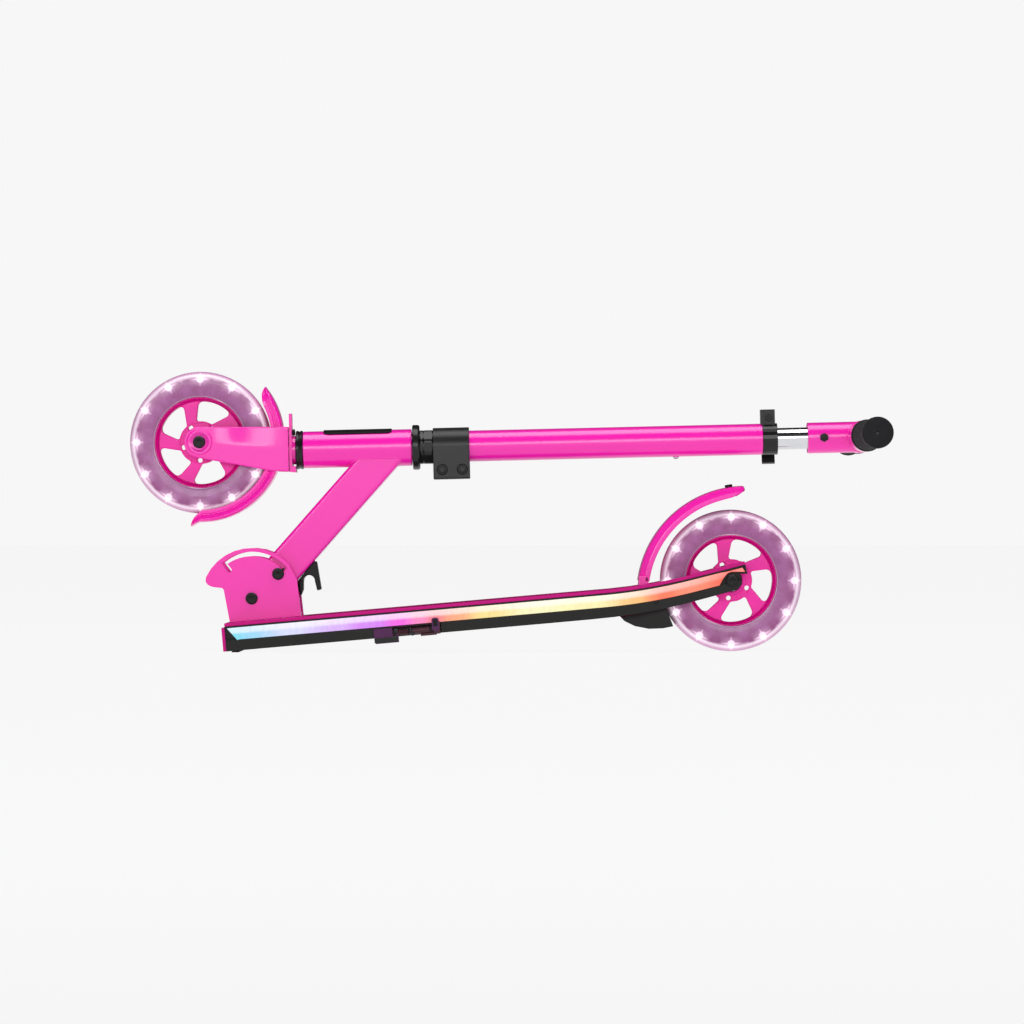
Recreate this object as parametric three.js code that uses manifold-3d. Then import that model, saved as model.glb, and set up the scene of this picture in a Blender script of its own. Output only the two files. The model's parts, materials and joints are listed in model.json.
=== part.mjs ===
// Folding kick scooter with light-up wheels and a light strip along each side of the deck.
// Millimetres, +Z up. The front wheel is towards -X and the folded handlebar towards +X.
// The scooter is folded and stands on its rear wheel and on the foot under the deck's front end.
import * as THREE from "three";
import { mergeVertices } from "three/addons/utils/BufferGeometryUtils.js";
import Module from "manifold-3d";

const wasm = await Module();
wasm.setup();

// ---------------------------------------------------------------- driving dimensions

const DEG = Math.PI / 180;
const GAP = 0.3; // clearance between pieces that touch

const WHEEL = {
  radius: 72.5, halfWidth: 12, rimRadius: 46.6, rimInner: 42.4, rimHalfWidth: 10.5,
  hubDisc: 22, hubBoss: 15, hubHalfWidth: 11.3, axleRadius: 4, bearingRadius: 11, bearingWidth: 7,
  spokes: 5, spokeOffset: 9.5, spokeRootWidth: 10.6, spokeTipWidth: 14.6, spokeHalfDepth: 4.5,
};
const REAR_AXLE = { x: 232.2, z: 72.5 };
const FRONT_AXLE = { u: -310.2, v: 10 }; // along and across the steering axis

const STEER = { z: 210.9, tilt: 1.35 }; // the steering axis crosses X = 0 at this height

const DECK = {
  frontX: -281.6, frontZ: 15.35, slope: 5, bendX: 96.6, bendRadius: 580, rearSlope: 14.8, rearX: 248,
  height: 28.4, rearHeight: 25.9, halfWidth: 52, rearHalfWidth: 32, taperX: 20, taperEndX: 200,
  plate: 3.2, web: 2.5, trim: 7, ledDepth: 3, ledHeight: 12.2, ledDrop: 5.1, slotHalf: 17.6, slotX: 131,
};
const TAPE = { from: -198, to: 124, rim: 5, recess: 2.2, drop: 1.4 };
const PIVOT = { x: -256.7, z: 54.4, radius: 5 }; // fold pivot
const LOCK = { angle: 42.8, openAngle: 128.2, radius: 36.7, slotRadius: 45.3, slotWidth: 4.6 };
const BRACKET = { inner: 22, outer: 25, radius: 51.4, base: 3.5 };
const NECK = { angle: 48.7, offset: -3.7, halfHeight: 18.4, halfWidth: 15, wall: 2.5, length: 206 };

const HEAD = { u0: -205.3, u1: -94.2, radius: 18.8, bore: 16 };
const STEERER = { radius: 14, bore: 11.5, end: -30 };
const LOWER_BAR = {
  u0: -72.2, u1: 264.6, radius: 15.9, bore: 14.4, neckRadius: 14.2, neckBore: 11.5, end: 279.6,
};
const INNER_BAR = { u0: 92, u1: 350, radius: 11.1, bore: 9.6 };
const CLAMP = { u0: -72.5, u1: -35.4, radius: 19.4, drop: 33.4, boltV: -23.8, boltU: [-63.4, -42.9] };
const QUICK = { u: 271.6, halfLength: 7.2, radius: 16.2, earTop: 30.2, boltV: 22, pinY: 12.8 };
const BAR = { u: 367.4, radius: 11.1, bore: 9.3, half: 163, sleeve: 15.8, sleeveHalf: 52, gripHalf: 167 };
const FORK = { crown: -221.8, crownEnd: -219.8, inner: 16.3, outer: 21.3, top: 23.6, bottom: -22 };

const FENDER = { inner: 13.3, outer: 15.8, skin: 2, rearInner: 14.5, rearOuter: 17 };
const FRONT_FENDER = {
  u: -309.6, v: 13.5, radius: 85.2, depth: 12.5, from: -97.6, lip: -90, beak: 24, to: 37.8,
};
const REAR_FENDER = { x: 247.5, z: 57.5, radius: 112, depth: 12, from: 90.6, slant: 5, to: 172 };
const BRAKE_PIVOT = { x: 155, z: 50.4 };
const PAD = { from: 97, to: 124, depth: 7.6, halfWidth: 9, bolt: 2, boltAngle: 98.8 };
const POWER = { x: 146, z: 32 };
const SNAP = { u: 175.9, radius: 2.8, from: -13.8, to: -18.4 };
const T_BOLT = { u: 327, radius: 2.5, head: 4.6 };
const KICK = { x: -119.2, z: 18.7, armIn: -44.9, armOut: -46.9 };

// ---------------------------------------------------------------- finishes

const FINISHES = {
  pink: [0xfa4bb4, 0.32, 0.25],
  black: [0x373737, 0.45, 0.1],
  rubber: [0x2b2b2b, 0.8, 0],
  steel: [0x3a3b3d, 0.35, 0.8],
  bare: [0xb9bcc0, 0.3, 0.9],
  chrome: [0xe8e8e8, 0.08, 1],
  tyre: [0xa86aa0, 0.25, 0],
  light: [0xffd2f4, 0.3, 0],
  grip: [0x2f2f31, 0.9, 0],
};

// ---------------------------------------------------------------- solids

// Six times the volume that the triangles enclose, positive when they face outwards.
function enclosed(position, index) {
  const a = new THREE.Vector3();
  const b = new THREE.Vector3();
  const c = new THREE.Vector3();
  let sum = 0;
  for (let i = 0; i < index.length; i += 3) {
    a.fromBufferAttribute(position, index[i]);
    b.fromBufferAttribute(position, index[i + 1]);
    c.fromBufferAttribute(position, index[i + 2]);
    sum += a.dot(b.cross(c));
  }
  return sum;
}

// The triangles without those that collapse to a line, as they do on a turned piece's axis.
function openTriangles(index) {
  const kept = [];
  for (let i = 0; i < index.length; i += 3) {
    const [a, b, c] = index.slice(i, i + 3);
    if (a !== b && b !== c && c !== a) kept.push(a, b, c);
  }
  return Uint32Array.from(kept);
}

function solid(geometry) {
  const bare = geometry.clone();
  bare.deleteAttribute("normal");
  bare.deleteAttribute("uv");
  const merged = mergeVertices(bare, 1e-4);
  const index = openTriangles(merged.index.array);
  const position = merged.getAttribute("position");
  if (enclosed(position, index) < 0) index.reverse();
  return new wasm.Manifold(
    new wasm.Mesh({ numProp: 3, vertProperties: position.array, triVerts: index }),
  );
}

function geometryOf(body) {
  const mesh = body.getMesh();
  const geometry = new THREE.BufferGeometry();
  geometry.setAttribute("position", new THREE.BufferAttribute(mesh.vertProperties, 3));
  geometry.setIndex(new THREE.BufferAttribute(mesh.triVerts, 1));
  return geometry;
}

const join = (...parts) => geometryOf(parts.map(solid).reduce((a, b) => a.add(b)));
const carve = (base, ...tools) => geometryOf(tools.map(solid).reduce((a, b) => a.subtract(b), solid(base)));
const overlapOf = (a, b) => geometryOf(solid(a).intersect(solid(b)));

function box(x0, x1, y0, y1, z0, z1) {
  const geometry = new THREE.BoxGeometry(x1 - x0, y1 - y0, z1 - z0);
  return geometry.translate((x0 + x1) / 2, (y0 + y1) / 2, (z0 + z1) / 2);
}

// A plate cut to a shape drawn in X and Z, between two values of Y.
function plate(shape, y0, y1, curveSegments = 12) {
  const options = { depth: y1 - y0, bevelEnabled: false, curveSegments };
  return new THREE.ExtrudeGeometry(shape, options).rotateX(Math.PI / 2).translate(0, y1, 0);
}

// A bar along X of a section drawn in Y and Z.
function bar(shape, x0, x1, curveSegments = 10) {
  const options = { depth: x1 - x0, bevelEnabled: false, curveSegments };
  const geometry = new THREE.ExtrudeGeometry(shape, options);
  return geometry.rotateX(Math.PI / 2).rotateZ(Math.PI / 2).translate(x0, 0, 0);
}

function outline(points) {
  return new THREE.Shape(points.map(([x, z]) => new THREE.Vector2(x, z)));
}

// A turned piece about the Y axis, from [radius, y] points.
function turned(points, segments = 32) {
  return new THREE.LatheGeometry(points.map(([r, y]) => new THREE.Vector2(r, y)), segments);
}

const closed = (points) => [...points, points[0]];
const ringProfile = (inner, outer, y0, y1) => closed([[inner, y0], [outer, y0], [outer, y1], [inner, y1]]);
const ringY = (inner, outer, y0, y1, segments) => turned(ringProfile(inner, outer, y0, y1), segments);
const ringX = (inner, outer, x0, x1, segments) => ringY(inner, outer, x0, x1, segments).rotateZ(-Math.PI / 2);

function rodY(radius, y0, y1, x = 0, z = 0, segments = 16) {
  const geometry = new THREE.CylinderGeometry(radius, radius, y1 - y0, segments);
  return geometry.translate(x, (y0 + y1) / 2, z);
}

function rodX(radius, x0, x1, y = 0, z = 0, segments = 16) {
  const geometry = new THREE.CylinderGeometry(radius, radius, x1 - x0, segments);
  return geometry.rotateZ(-Math.PI / 2).translate((x0 + x1) / 2, y, z);
}

// Triangles across one flat ring of points, turned the same way as the ring.
function capTriangles(ring) {
  const normal = new THREE.Vector3();
  ring.forEach((point, i) => normal.add(point.clone().cross(ring[(i + 1) % ring.length])));
  const flatten = new THREE.Quaternion().setFromUnitVectors(normal.normalize(), new THREE.Vector3(0, 0, 1));
  const flat = ring.map((point) => point.clone().applyQuaternion(flatten));
  return THREE.ShapeUtils.triangulateShape(flat.map(({ x, y }) => new THREE.Vector2(x, y)), []);
}

// A solid through a row of stations: each turns the section's points into one ring.
function loft(section, stations) {
  const count = section.length;
  const rings = stations.map((place) => section.map((point) => new THREE.Vector3(...place(point))));
  const index = [];
  for (let ring = 0; ring + 1 < rings.length; ring += 1) {
    for (let i = 0; i < count; i += 1) {
      const a = ring * count + i;
      const b = ring * count + ((i + 1) % count);
      index.push(a, b, b + count, a, b + count, a + count);
    }
  }
  const last = (rings.length - 1) * count;
  capTriangles(rings[0]).forEach(([a, b, c]) => index.push(c, b, a, last + a, last + b, last + c));
  const geometry = new THREE.BufferGeometry().setFromPoints(rings.flat());
  geometry.setIndex(index);
  return geometry;
}

function piece(group, name, finish, geometry) {
  const [color, roughness, metalness] = FINISHES[finish];
  const material = new THREE.MeshStandardMaterial({ color, roughness, metalness });
  const mesh = new THREE.Mesh(geometryOf(solid(geometry)), material);
  mesh.name = name;
  group.add(mesh);
  return mesh;
}

const SIDES = [["left", -1], ["right", 1]];
const span = (side, near, far) => (side < 0 ? [-far, -near] : [near, far]);
const steps = (from, to, count) =>
  Array.from({ length: count + 1 }, (_, i) => from + ((to - from) * i) / count);

// ---------------------------------------------------------------- the deck's curve

// The middle line of the deck's side: straight, then a wide bend up, then straight to the rear end.
function deckAt(x) {
  const slope = DECK.slope * DEG;
  const rear = DECK.rearSlope * DEG;
  const bendZ = DECK.frontZ + (DECK.bendX - DECK.frontX) * Math.tan(slope);
  if (x <= DECK.bendX) return { x, z: DECK.frontZ + (x - DECK.frontX) * Math.tan(slope), angle: slope };
  const bendEnd = DECK.bendX + DECK.bendRadius * (Math.sin(rear) - Math.sin(slope));
  const angle = x < bendEnd ? Math.asin(Math.sin(slope) + (x - DECK.bendX) / DECK.bendRadius) : rear;
  const rise = DECK.bendRadius * (Math.cos(slope) - Math.cos(angle));
  return { x, z: bendZ + rise + Math.max(0, x - bendEnd) * Math.tan(rear), angle };
}

const ease = (t) => t * t * (3 - 2 * t);
const between = (x, x0, x1) => Math.min(1, Math.max(0, (x - x0) / (x1 - x0)));

function deckHalfWidth(x) {
  const t = ease(between(x, DECK.taperX, DECK.taperEndX));
  return DECK.halfWidth + (DECK.rearHalfWidth - DECK.halfWidth) * t;
}

function deckHalfHeight(x) {
  const t = between(x, DECK.bendX, REAR_AXLE.x);
  return (DECK.height + (DECK.rearHeight - DECK.height) * t) / 2;
}

// Section points are [out, up, edge, level]: out counts from the deck's edge (edge 1) or its middle
// (edge 0), and up from the top face (level 1), the bottom face (level -1) or the middle line (level 0).
function deckStation(x, side) {
  const { z, angle } = deckAt(x);
  return ([out, up, edge, level]) => {
    const y = out + edge * deckHalfWidth(x);
    const height = up + level * deckHalfHeight(x);
    return [x - height * Math.sin(angle), side * y, z + height * Math.cos(angle)];
  };
}

const DECK_XS = [...steps(DECK.frontX, DECK.taperX, 2), ...steps(DECK.taperX, DECK.rearX, 10).slice(1)];

function deckLoft(points, side, from = DECK.frontX, to = DECK.rearX) {
  const xs = [from, ...DECK_XS.filter((x) => x > from + 1 && x < to - 1), to];
  const geometry = loft(points, xs.map((x) => deckStation(x, side)));
  return geometry;
}

// A box in the frame of the deck's straight stretch, given by X along it and height above its bottom face.
function deckBox(x0, x1, y0, y1, up0, up1) {
  const half = DECK.height / 2;
  const low = up0 - half;
  const high = up1 - half;
  const corners = [[y0, low, 0, 0], [y1, low, 0, 0], [y1, high, 0, 0], [y0, high, 0, 0]];
  return loft(corners, [deckStation(x0, 1), deckStation(x1, 1)]);
}

// What is cut from the rear ends, so that they are round below and behind the axle.
function rearCorner() {
  const { x, z } = REAR_AXLE;
  return carve(box(x, x + 40, -60, 60, z - 40, z + 7), rodY(10.2, -61, 61, x, z, 24));
}

// ---------------------------------------------------------------- deck pieces

function deckPlatform() {
  const { plate: thick, web, trim, slotHalf, slotX } = DECK;
  const top = [[0, -thick, 0, 1], [-0.6, -thick, 1, 1], [-0.6, 0, 1, 1], [0, 0, 0, 1]];
  const webOut = -trim - GAP;
  const webIn = webOut - web;
  const sideWeb = [[webIn, 0, 1, -1], [webOut, 0, 1, -1], [webOut, -1, 1, 1], [webIn, -1, 1, 1]];
  const rail = [[slotHalf, 0, 0, -1], [webOut, 0, 1, -1], [webOut, -1, 1, 1], [slotHalf, -1, 0, 1]];
  const parts = SIDES.flatMap(([, side]) => [
    deckLoft(top, side),
    deckLoft(sideWeb, side),
    deckLoft(rail, side, slotX + 6),
  ]);
  const ribs = [-275, -190, -60, 14].map((x) => deckBox(x, x + 4, -43, 43, 6, DECK.height - 1));
  const slot = box(slotX, DECK.rearX + 30, -slotHalf, slotHalf, 20, 120);
  const across = [rodY(WHEEL.axleRadius + GAP, -60, 60, REAR_AXLE.x, REAR_AXLE.z),
    rodY(1.9 + GAP, -60, 60, BRAKE_PIVOT.x, BRAKE_PIVOT.z, 16)];
  const kickPocket = deckBox(KICK.x - 15, KICK.x + 57, -53, KICK.armIn + GAP, -8, 9);
  return carve(join(...parts, ...ribs), slot, ...across, kickPocket, rearCorner(), gripSheet(true));
}

// The sheet that the rider stands on, or with more room the recess that holds it below the deck's rim.
function gripSheet(room) {
  const { from, to, rim, recess, drop } = TAPE;
  const [bottom, top, side] = room ? [-recess, 1, -rim + GAP] : [-recess + GAP, -drop, -rim];
  const points = [[0, bottom, 0, 1], [side, bottom, 1, 1], [side, top, 1, 1], [0, top, 0, 1]];
  const reach = room ? GAP : 0;
  return join(...SIDES.map(([, half]) => deckLoft(points, half, from - reach, to + reach)));
}

function lightChannel(clearance) {
  const top = -DECK.ledDrop + clearance;
  const bottom = -DECK.ledDrop - DECK.ledHeight - clearance;
  return { top, bottom, inner: -DECK.ledDepth - clearance };
}

function sideTrim(side) {
  const { top, bottom, inner } = lightChannel(GAP);
  const body = [
    [-DECK.trim, 0, 1, -1], [0, 0, 1, -1], [0, bottom, 1, 1], [inner, bottom, 1, 1],
    [inner, top, 1, 1], [0, top, 1, 1], [0, -DECK.plate - GAP, 1, 1], [-DECK.trim, -DECK.plate - GAP, 1, 1],
  ];
  const cuts = [
    rodY(WHEEL.axleRadius + GAP, -60, 60, REAR_AXLE.x, REAR_AXLE.z),
    rodY(1.9 + GAP, -60, 60, BRAKE_PIVOT.x, BRAKE_PIVOT.z, 16),
    rearCorner(),
  ];
  if (side < 0) cuts.push(deckBox(KICK.x - 13.3, KICK.x + 55.2, -60, -40, -8, 9.6));
  return carve(deckLoft(body, side), ...cuts);
}

function lightStrip(side) {
  const { top, bottom, inner } = lightChannel(0);
  const section = [[inner, bottom, 1, 1], [0.4, bottom, 1, 1], [0.4, top, 1, 1], [inner, top, 1, 1]];
  const mitre = outline([[-300, 0], [-264, 0], [-291, 40], [-300, 40]]);
  const boss = rodY(8.6, -60, 60, REAR_AXLE.x, REAR_AXLE.z, 20);
  return carve(deckLoft(section, side, DECK.frontX, 242), plate(mitre, -60, 60), boss);
}

function frontEndPlate() {
  return deckBox(DECK.frontX - 3.3, DECK.frontX - GAP, -51, 51, 0, 24);
}

function foldBracket() {
  const { inner, outer, radius, base } = BRACKET;
  const at = (angle, r) => [PIVOT.x + r * Math.cos(angle * DEG), PIVOT.z + r * Math.sin(angle * DEG)];
  const arc = steps(43, 155, 10).map((angle) => at(angle, radius));
  const nose = [[-303.7, 71.6], [-301.5, 68.3], [-297.6, 66.3], [-292.6, 65.5], [-286.8, 65], [-285.2, 63]];
  const side = outline([[-278.4, 27], [-205.9, 33], [-210.6, 73.4], ...arc, ...nose]);
  const slot = lockSlot();
  const plates = SIDES.map(([, s]) => carve(plate(side, ...span(s, inner, outer)), slot));
  const floor = deckBox(-277.5, -206.5, -outer, outer, DECK.height + GAP, DECK.height + GAP + base);
  const bolt = rodY(PIVOT.radius + GAP, -outer - 1, outer + 1, PIVOT.x, PIVOT.z);
  const under = deckBox(-300, -190, -30, 30, 0, DECK.height + GAP);
  return carve(join(...plates, floor), bolt, under);
}

// The arc that the lock pin follows as the neck folds, with a notch inwards at each end.
function lockSlot() {
  const { angle, openAngle, radius, slotRadius, slotWidth } = LOCK;
  const half = slotWidth / 2;
  const shape = new THREE.Shape();
  shape.absarc(PIVOT.x, PIVOT.z, slotRadius + half, (angle - 2.5) * DEG, (openAngle + 2.5) * DEG, false);
  shape.absarc(PIVOT.x, PIVOT.z, slotRadius - half, (openAngle + 2.5) * DEG, (angle - 2.5) * DEG, true);
  const depth = BRACKET.outer + 1;
  const notches = [angle, openAngle].map((turn) =>
    join(box(radius, slotRadius, -depth, depth, -half, half), rodY(half, -depth, depth, radius, 0, 12))
      .rotateY(-turn * DEG)
      .translate(PIVOT.x, 0, PIVOT.z));
  return join(plate(shape, -depth, depth, 9), ...notches);
}

function foldPivotBolt() {
  const reach = BRACKET.outer + GAP;
  const heads = SIDES.map(([, side]) => turned([[0, 0], [6.1, 0], [6.1, 1.6], [4.6, 3], [0, 3]], 16)
    .rotateX(side < 0 ? Math.PI : 0)
    .translate(0, side * reach, 0));
  return join(rodY(PIVOT.radius, -reach - 1, reach + 1), ...heads);
}

function batteryBox() {
  const shape = outline([[119.4, 35.2], [123.4, 31], [133.4, 26.2], [147.6, 23.4], [161.9, 23.9], [172.6, 26],
    [169, 35.3], [165.6, 44.4]]);
  const cavity = outline([[125.5, 34.2], [134.5, 29], [147.8, 26], [155, 26], [155, 39.6], [126.5, 34.8]]);
  const wheelRoom = rodY(WHEEL.radius + 2, -14.5, 14.5, REAR_AXLE.x, REAR_AXLE.z, 40);
  const cable = rodX(1.5, 116, 128, 0, 33.6);
  const button = rodY(4.2, 20, 26, POWER.x, POWER.z);
  return carve(plate(shape, -24, 24), wheelRoom, plate(cavity, -22, 22), cable, button);
}

function batteryPack() {
  const cells = [[138.6, 32.4], [146.9, 33]].map(([x, z]) => rodY(4, -20, 16, x, z, 16));
  return join(...cells, box(138.6, 146.9, -19, 15, 31.6, 33.6));
}

function powerButton() {
  const profile = [[0, 18.4], [3.9, 18.4], [3.9, 25.2], [3.2, 25.8], [0, 25.8]];
  return turned(profile, 16).translate(POWER.x, 0, POWER.z);
}

function kickstandBracket() {
  const { x, armOut } = KICK;
  const outerPlate = deckBox(x - 13, x + 5.8, -52, armOut - GAP - 0.8, -4.4, 9.4);
  const roof = deckBox(x - 13, x + 5.8, -52, KICK.armIn, 7.6, 9.4);
  const lip = deckBox(x - 11.8, x + 11.6, -52, armOut - GAP - 0.8, -5.8, -0.8);
  const peg = deckBox(x + 9.6, x + 11.6, -51.4, -49, -4.6, 5);
  const rivet = rodY(2, -52.6, KICK.armIn + 0.3, x, KICK.z);
  return join(outerPlate, roof, lip, peg, rivet);
}

function kickstandLeg() {
  const { x, z, armIn, armOut } = KICK;
  const eye = rodY(4, armOut, armIn, x, z);
  const arm = deckBox(x, x + 54, armOut, armIn, 0.6, 6.2);
  const barrel = rodX(3.4, 26, 44, -49.4, 0, 20).rotateY(-DECK.slope * DEG).translate(x, 0, z + 0.9);
  const bridge = deckBox(x + 26, x + 44, -49, armIn, 1.6, 6);
  const pin = deckBox(x + 22.4, x + 24.6, -51.4, armIn, 1.2, 5.6);
  const foot = deckBox(x + 47.5, x + 54, -54.8, armIn, -0.6, 9.2);
  const tip = deckBox(x + 47.5, x + 54, -54.8, -53, 8, 12);
  const toe = deckBox(x + 34, x + 50, -51.6, armIn, -1.6, 0.8);
  const hole = rodY(2 + GAP, -60, 0, x, z);
  return carve(join(eye, arm, barrel, bridge, pin, foot, tip, toe), hole);
}

function kickstandSpring() {
  const { x, z } = KICK;
  return ringX(1.6, 3.1, 12.8, 21.8, 16).rotateY(-DECK.slope * DEG).translate(x, -50.2, z + 0.6);
}

// An axle with a head at each end and a shoulder each side of the wheel.
function axle(reach, shoulder) {
  const { axleRadius, hubHalfWidth } = WHEEL;
  const ends = SIDES.flatMap(([, side]) => [
    rodY(6.2, ...span(side, reach + GAP, reach + 3.2)),
    rodY(6.6, ...span(side, hubHalfWidth + GAP, shoulder - GAP)),
  ]);
  return join(rodY(axleRadius, -reach - 1, reach + 1), ...ends);
}

function brakePivotPin() {
  const reach = deckHalfWidth(BRAKE_PIVOT.x);
  const heads = SIDES.map(([, side]) => rodY(1.9, ...span(side, reach - 1, reach + 0.6), 0, 0, 16));
  return join(rodY(1.8, -reach, reach, 0, 0, 16), ...heads);
}

function brakeSpring() {
  const coil = ringY(2.2, 4, -9, 9, 16);
  const arm = box(-12, -2.6, -8.8, -7, -1, 0.8);
  return join(coil, arm);
}

// ---------------------------------------------------------------- wheels

function tyre() {
  const { radius, halfWidth, rimRadius } = WHEEL;
  const inner = rimRadius + GAP;
  const half = [[inner, 10.6], [59, halfWidth], [67.4, 10.8], [71.2, 7], [radius, 2]];
  const lower = half.map(([r, y]) => [r, -y]);
  const groove = [[inner, 5.3], [inner + 2.8, 5.3], [inner + 2.8, -5.3], [inner, -5.3]];
  return turned(closed([...lower, ...half.reverse(), ...groove]), 40);
}

function wheelCore() {
  const w = WHEEL;
  const { rimInner, rimRadius, rimHalfWidth: wide } = w;
  const near = rimInner + 3;
  const face = [[rimInner, 5], [near, wide], [rimRadius, wide]];
  const rim = turned(closed([...face, ...face.map(([r, y]) => [r, -y]).reverse()]), 40);
  const hub = join(rodY(w.hubDisc, -w.spokeHalfDepth, w.spokeHalfDepth, 0, 0, 20),
    rodY(w.hubBoss, -w.hubHalfWidth, w.hubHalfWidth, 0, 0, 16));
  const spoke = outline([
    [12, w.spokeOffset - w.spokeRootWidth / 2], [43.6, w.spokeOffset - w.spokeTipWidth / 2],
    [42.2, w.spokeOffset + w.spokeTipWidth / 2], [14, w.spokeOffset + w.spokeRootWidth / 2],
  ]);
  const turns = steps(90, 90 + 360 - 360 / w.spokes, w.spokes - 1);
  const spokes = turns.map((turn) =>
    plate(spoke, -w.spokeHalfDepth, w.spokeHalfDepth).rotateY(-turn * DEG));
  const holes = turns.map((turn) => rodY(2.5, -6, 6, 18.2, 0, 8).rotateY(-(turn + 34) * DEG));
  const seatDepth = w.hubHalfWidth - w.bearingWidth - GAP;
  const seats = SIDES.map(([, side]) => rodY(w.bearingRadius + GAP, ...span(side, seatDepth, 20)));
  return carve(join(rim, hub, ...spokes), ...holes, ...seats, rodY(7.5, -20, 20));
}

function wheel(prefix, group) {
  const w = WHEEL;
  piece(group, `${prefix}_tyre`, "tyre", tyre());
  piece(group, `${prefix}_wheel_core`, "pink", wheelCore());
  piece(group, `${prefix}_led_ring`, "light", ringY(w.rimRadius + 2 * GAP, w.rimRadius + 2.7, -5, 5, 40));
  SIDES.forEach(([name, side]) => {
    const reach = span(side, w.hubHalfWidth - w.bearingWidth, w.hubHalfWidth);
    const bearing = ringY(w.axleRadius + GAP, w.bearingRadius, ...reach, 16);
    piece(group, `${prefix}_bearing_${name}`, "bare", bearing);
  });
}

// ---------------------------------------------------------------- fenders

// A channel's section as [inset, y]: the skin outside, a flange each side, open to the wheel.
function channel(depth, inner, outer) {
  const { skin } = FENDER;
  const shoulder = 5.4;
  const right = [
    [0, outer - shoulder], [1.6, outer - 1.6], [shoulder, outer], [depth, outer],
    [depth, inner], [skin + 2, inner], [skin, inner - 2.6],
  ];
  const left = right.map(([inset, y]) => [inset, -y]).reverse();
  return [...right, ...left];
}

// A channel bent round the Y axis. A station says how deep, how wide and how far out it is.
function bentChannel(spec, inner, outer, stations) {
  const { radius, depth, slant = 0 } = spec;
  const section = channel(depth, inner, outer);
  return loft(section, stations.map(({ angle, deep = 1, wide = 1, out = 0 }, i) => ([inset, y]) => {
    const lean = i === 0 ? slant * (inset / depth) ** 1.3 : 0;
    const least = Math.min(inset, FENDER.skin + inset / 20);
    const r = radius + out - Math.max(least, inset * deep);
    const turn = (angle + lean) * DEG;
    return [r * Math.cos(turn), y * wide, r * Math.sin(turn)];
  }));
}

function rearFender() {
  const { rearInner, rearOuter } = FENDER;
  const { from, to } = REAR_FENDER;
  const stations = [from, ...steps(from + 6.6, to, 17)].map((angle) => ({ angle }));
  const arc = bentChannel(REAR_FENDER, rearInner, rearOuter, stations)
    .translate(REAR_FENDER.x, 0, REAR_FENDER.z);
  const { x, z } = BRAKE_PIVOT;
  const arm = outline([
    [136.5, 74], [148.6, 75.5], [x + 5.6, z + 2], [x + 4.6, z - 4.2], [x - 2, z - 5.4], [x - 8, z - 1],
  ]);
  const arms = SIDES.map(([, side]) => plate(arm, ...span(side, rearInner, rearOuter)));
  const eye = rodY(1.8 + GAP, -30, 30, x, z, 16);
  return carve(join(arc, ...arms), eye, radialRod(PAD.bolt + GAP, 90, 120));
}

// A rod that points away from the rear fender's centre.
function radialRod(radius, from, to) {
  return rodX(radius, from, to, 0, 0, 20)
    .rotateY(-PAD.boltAngle * DEG)
    .translate(REAR_FENDER.x, 0, REAR_FENDER.z);
}

function brakePad() {
  const { x, z, radius } = REAR_FENDER;
  const outer = radius - FENDER.skin - GAP;
  const shoe = new THREE.Shape();
  shoe.absarc(x, z, outer, PAD.from * DEG, PAD.to * DEG, false);
  shoe.absarc(x, z, outer - PAD.depth, PAD.to * DEG, PAD.from * DEG, true);
  return carve(plate(shoe, -PAD.halfWidth, PAD.halfWidth), radialRod(PAD.bolt + GAP, 90, 120));
}

function brakePadBolt() {
  const { radius } = REAR_FENDER;
  return join(radialRod(PAD.bolt, radius - 8, radius + 1), radialRod(4, radius + GAP, radius + 2.6));
}

// The front fender wraps the wheel behind the fork's crown: a beak at the top, a flared lip at the bottom.
function frontFender() {
  const { inner, outer } = FENDER;
  const { u, from, lip, beak, to, radius } = FRONT_FENDER;
  const lips = steps(from, lip, 5).slice(0, -1).map((angle) => {
    const s = (lip - angle) / (lip - from);
    return { angle, deep: 0.72 * Math.sqrt(1 - 0.92 * s ** 6), out: 8 * Math.max(0, s - 0.28) ** 1.3 };
  });
  const middle = steps(lip, beak, 13).map((angle) => ({ angle }));
  const beaks = steps(beak, to, 5).slice(1).map((angle) => {
    const s = (angle - beak) / (to - beak);
    return { angle, deep: Math.sqrt(1 - s * s), wide: Math.sqrt(1 - 0.9 * s ** 3) };
  });
  const arc = bentChannel(FRONT_FENDER, inner, outer, [...lips, ...middle, ...beaks]);
  const pad = box(radius - 3, FORK.crown - GAP - u, -8, 8, -9, 9);
  return join(arc, pad);
}

// ---------------------------------------------------------------- neck and lock (world frame)

function neckTube() {
  const { halfHeight, halfWidth, length, wall, angle, offset } = NECK;
  const place = (geometry) => geometry.rotateY(-angle * DEG).translate(PIVOT.x, 0, PIVOT.z);
  const low = offset - halfHeight;
  const high = offset + halfHeight;
  const tube = box(0, length, -halfWidth, halfWidth, low, high);
  const outer = join(tube, rodY(18.3, -halfWidth, halfWidth, 0, 0, 20));
  const inner = box(-30, length - 12, wall - halfWidth, halfWidth - wall, low + wall, high - wall);
  const bush = rodY(9, -BRACKET.inner + GAP, BRACKET.inner - GAP);
  const frame = carve(join(carve(outer, inner), bush), rodY(PIVOT.radius + GAP, -30, 30), lockRoom());
  return carve(place(frame), linkRoom());
}

// The slot through the neck's walls along which the lock pin slides.
function lockRoom() {
  const half = LOCK.slotWidth / 2 + 2.6;
  const from = LOCK.radius - half;
  return box(from, from + 2 * half + 10, -40, 40, -half, half).rotateY((NECK.angle - LOCK.angle) * DEG);
}

// The slot in the neck's lower wall for the link from the pin to the finger hook.
function linkRoom() {
  const room = outline([[-233, 75], [-209, 56], [-199, 63], [-199, 78], [-221, 91], [-230, 84]]);
  return plate(room, -3 - GAP, 3 + GAP);
}

const lockPlace = (geometry) => geometry.rotateY(-LOCK.angle * DEG).translate(PIVOT.x, 0, PIVOT.z);

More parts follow.
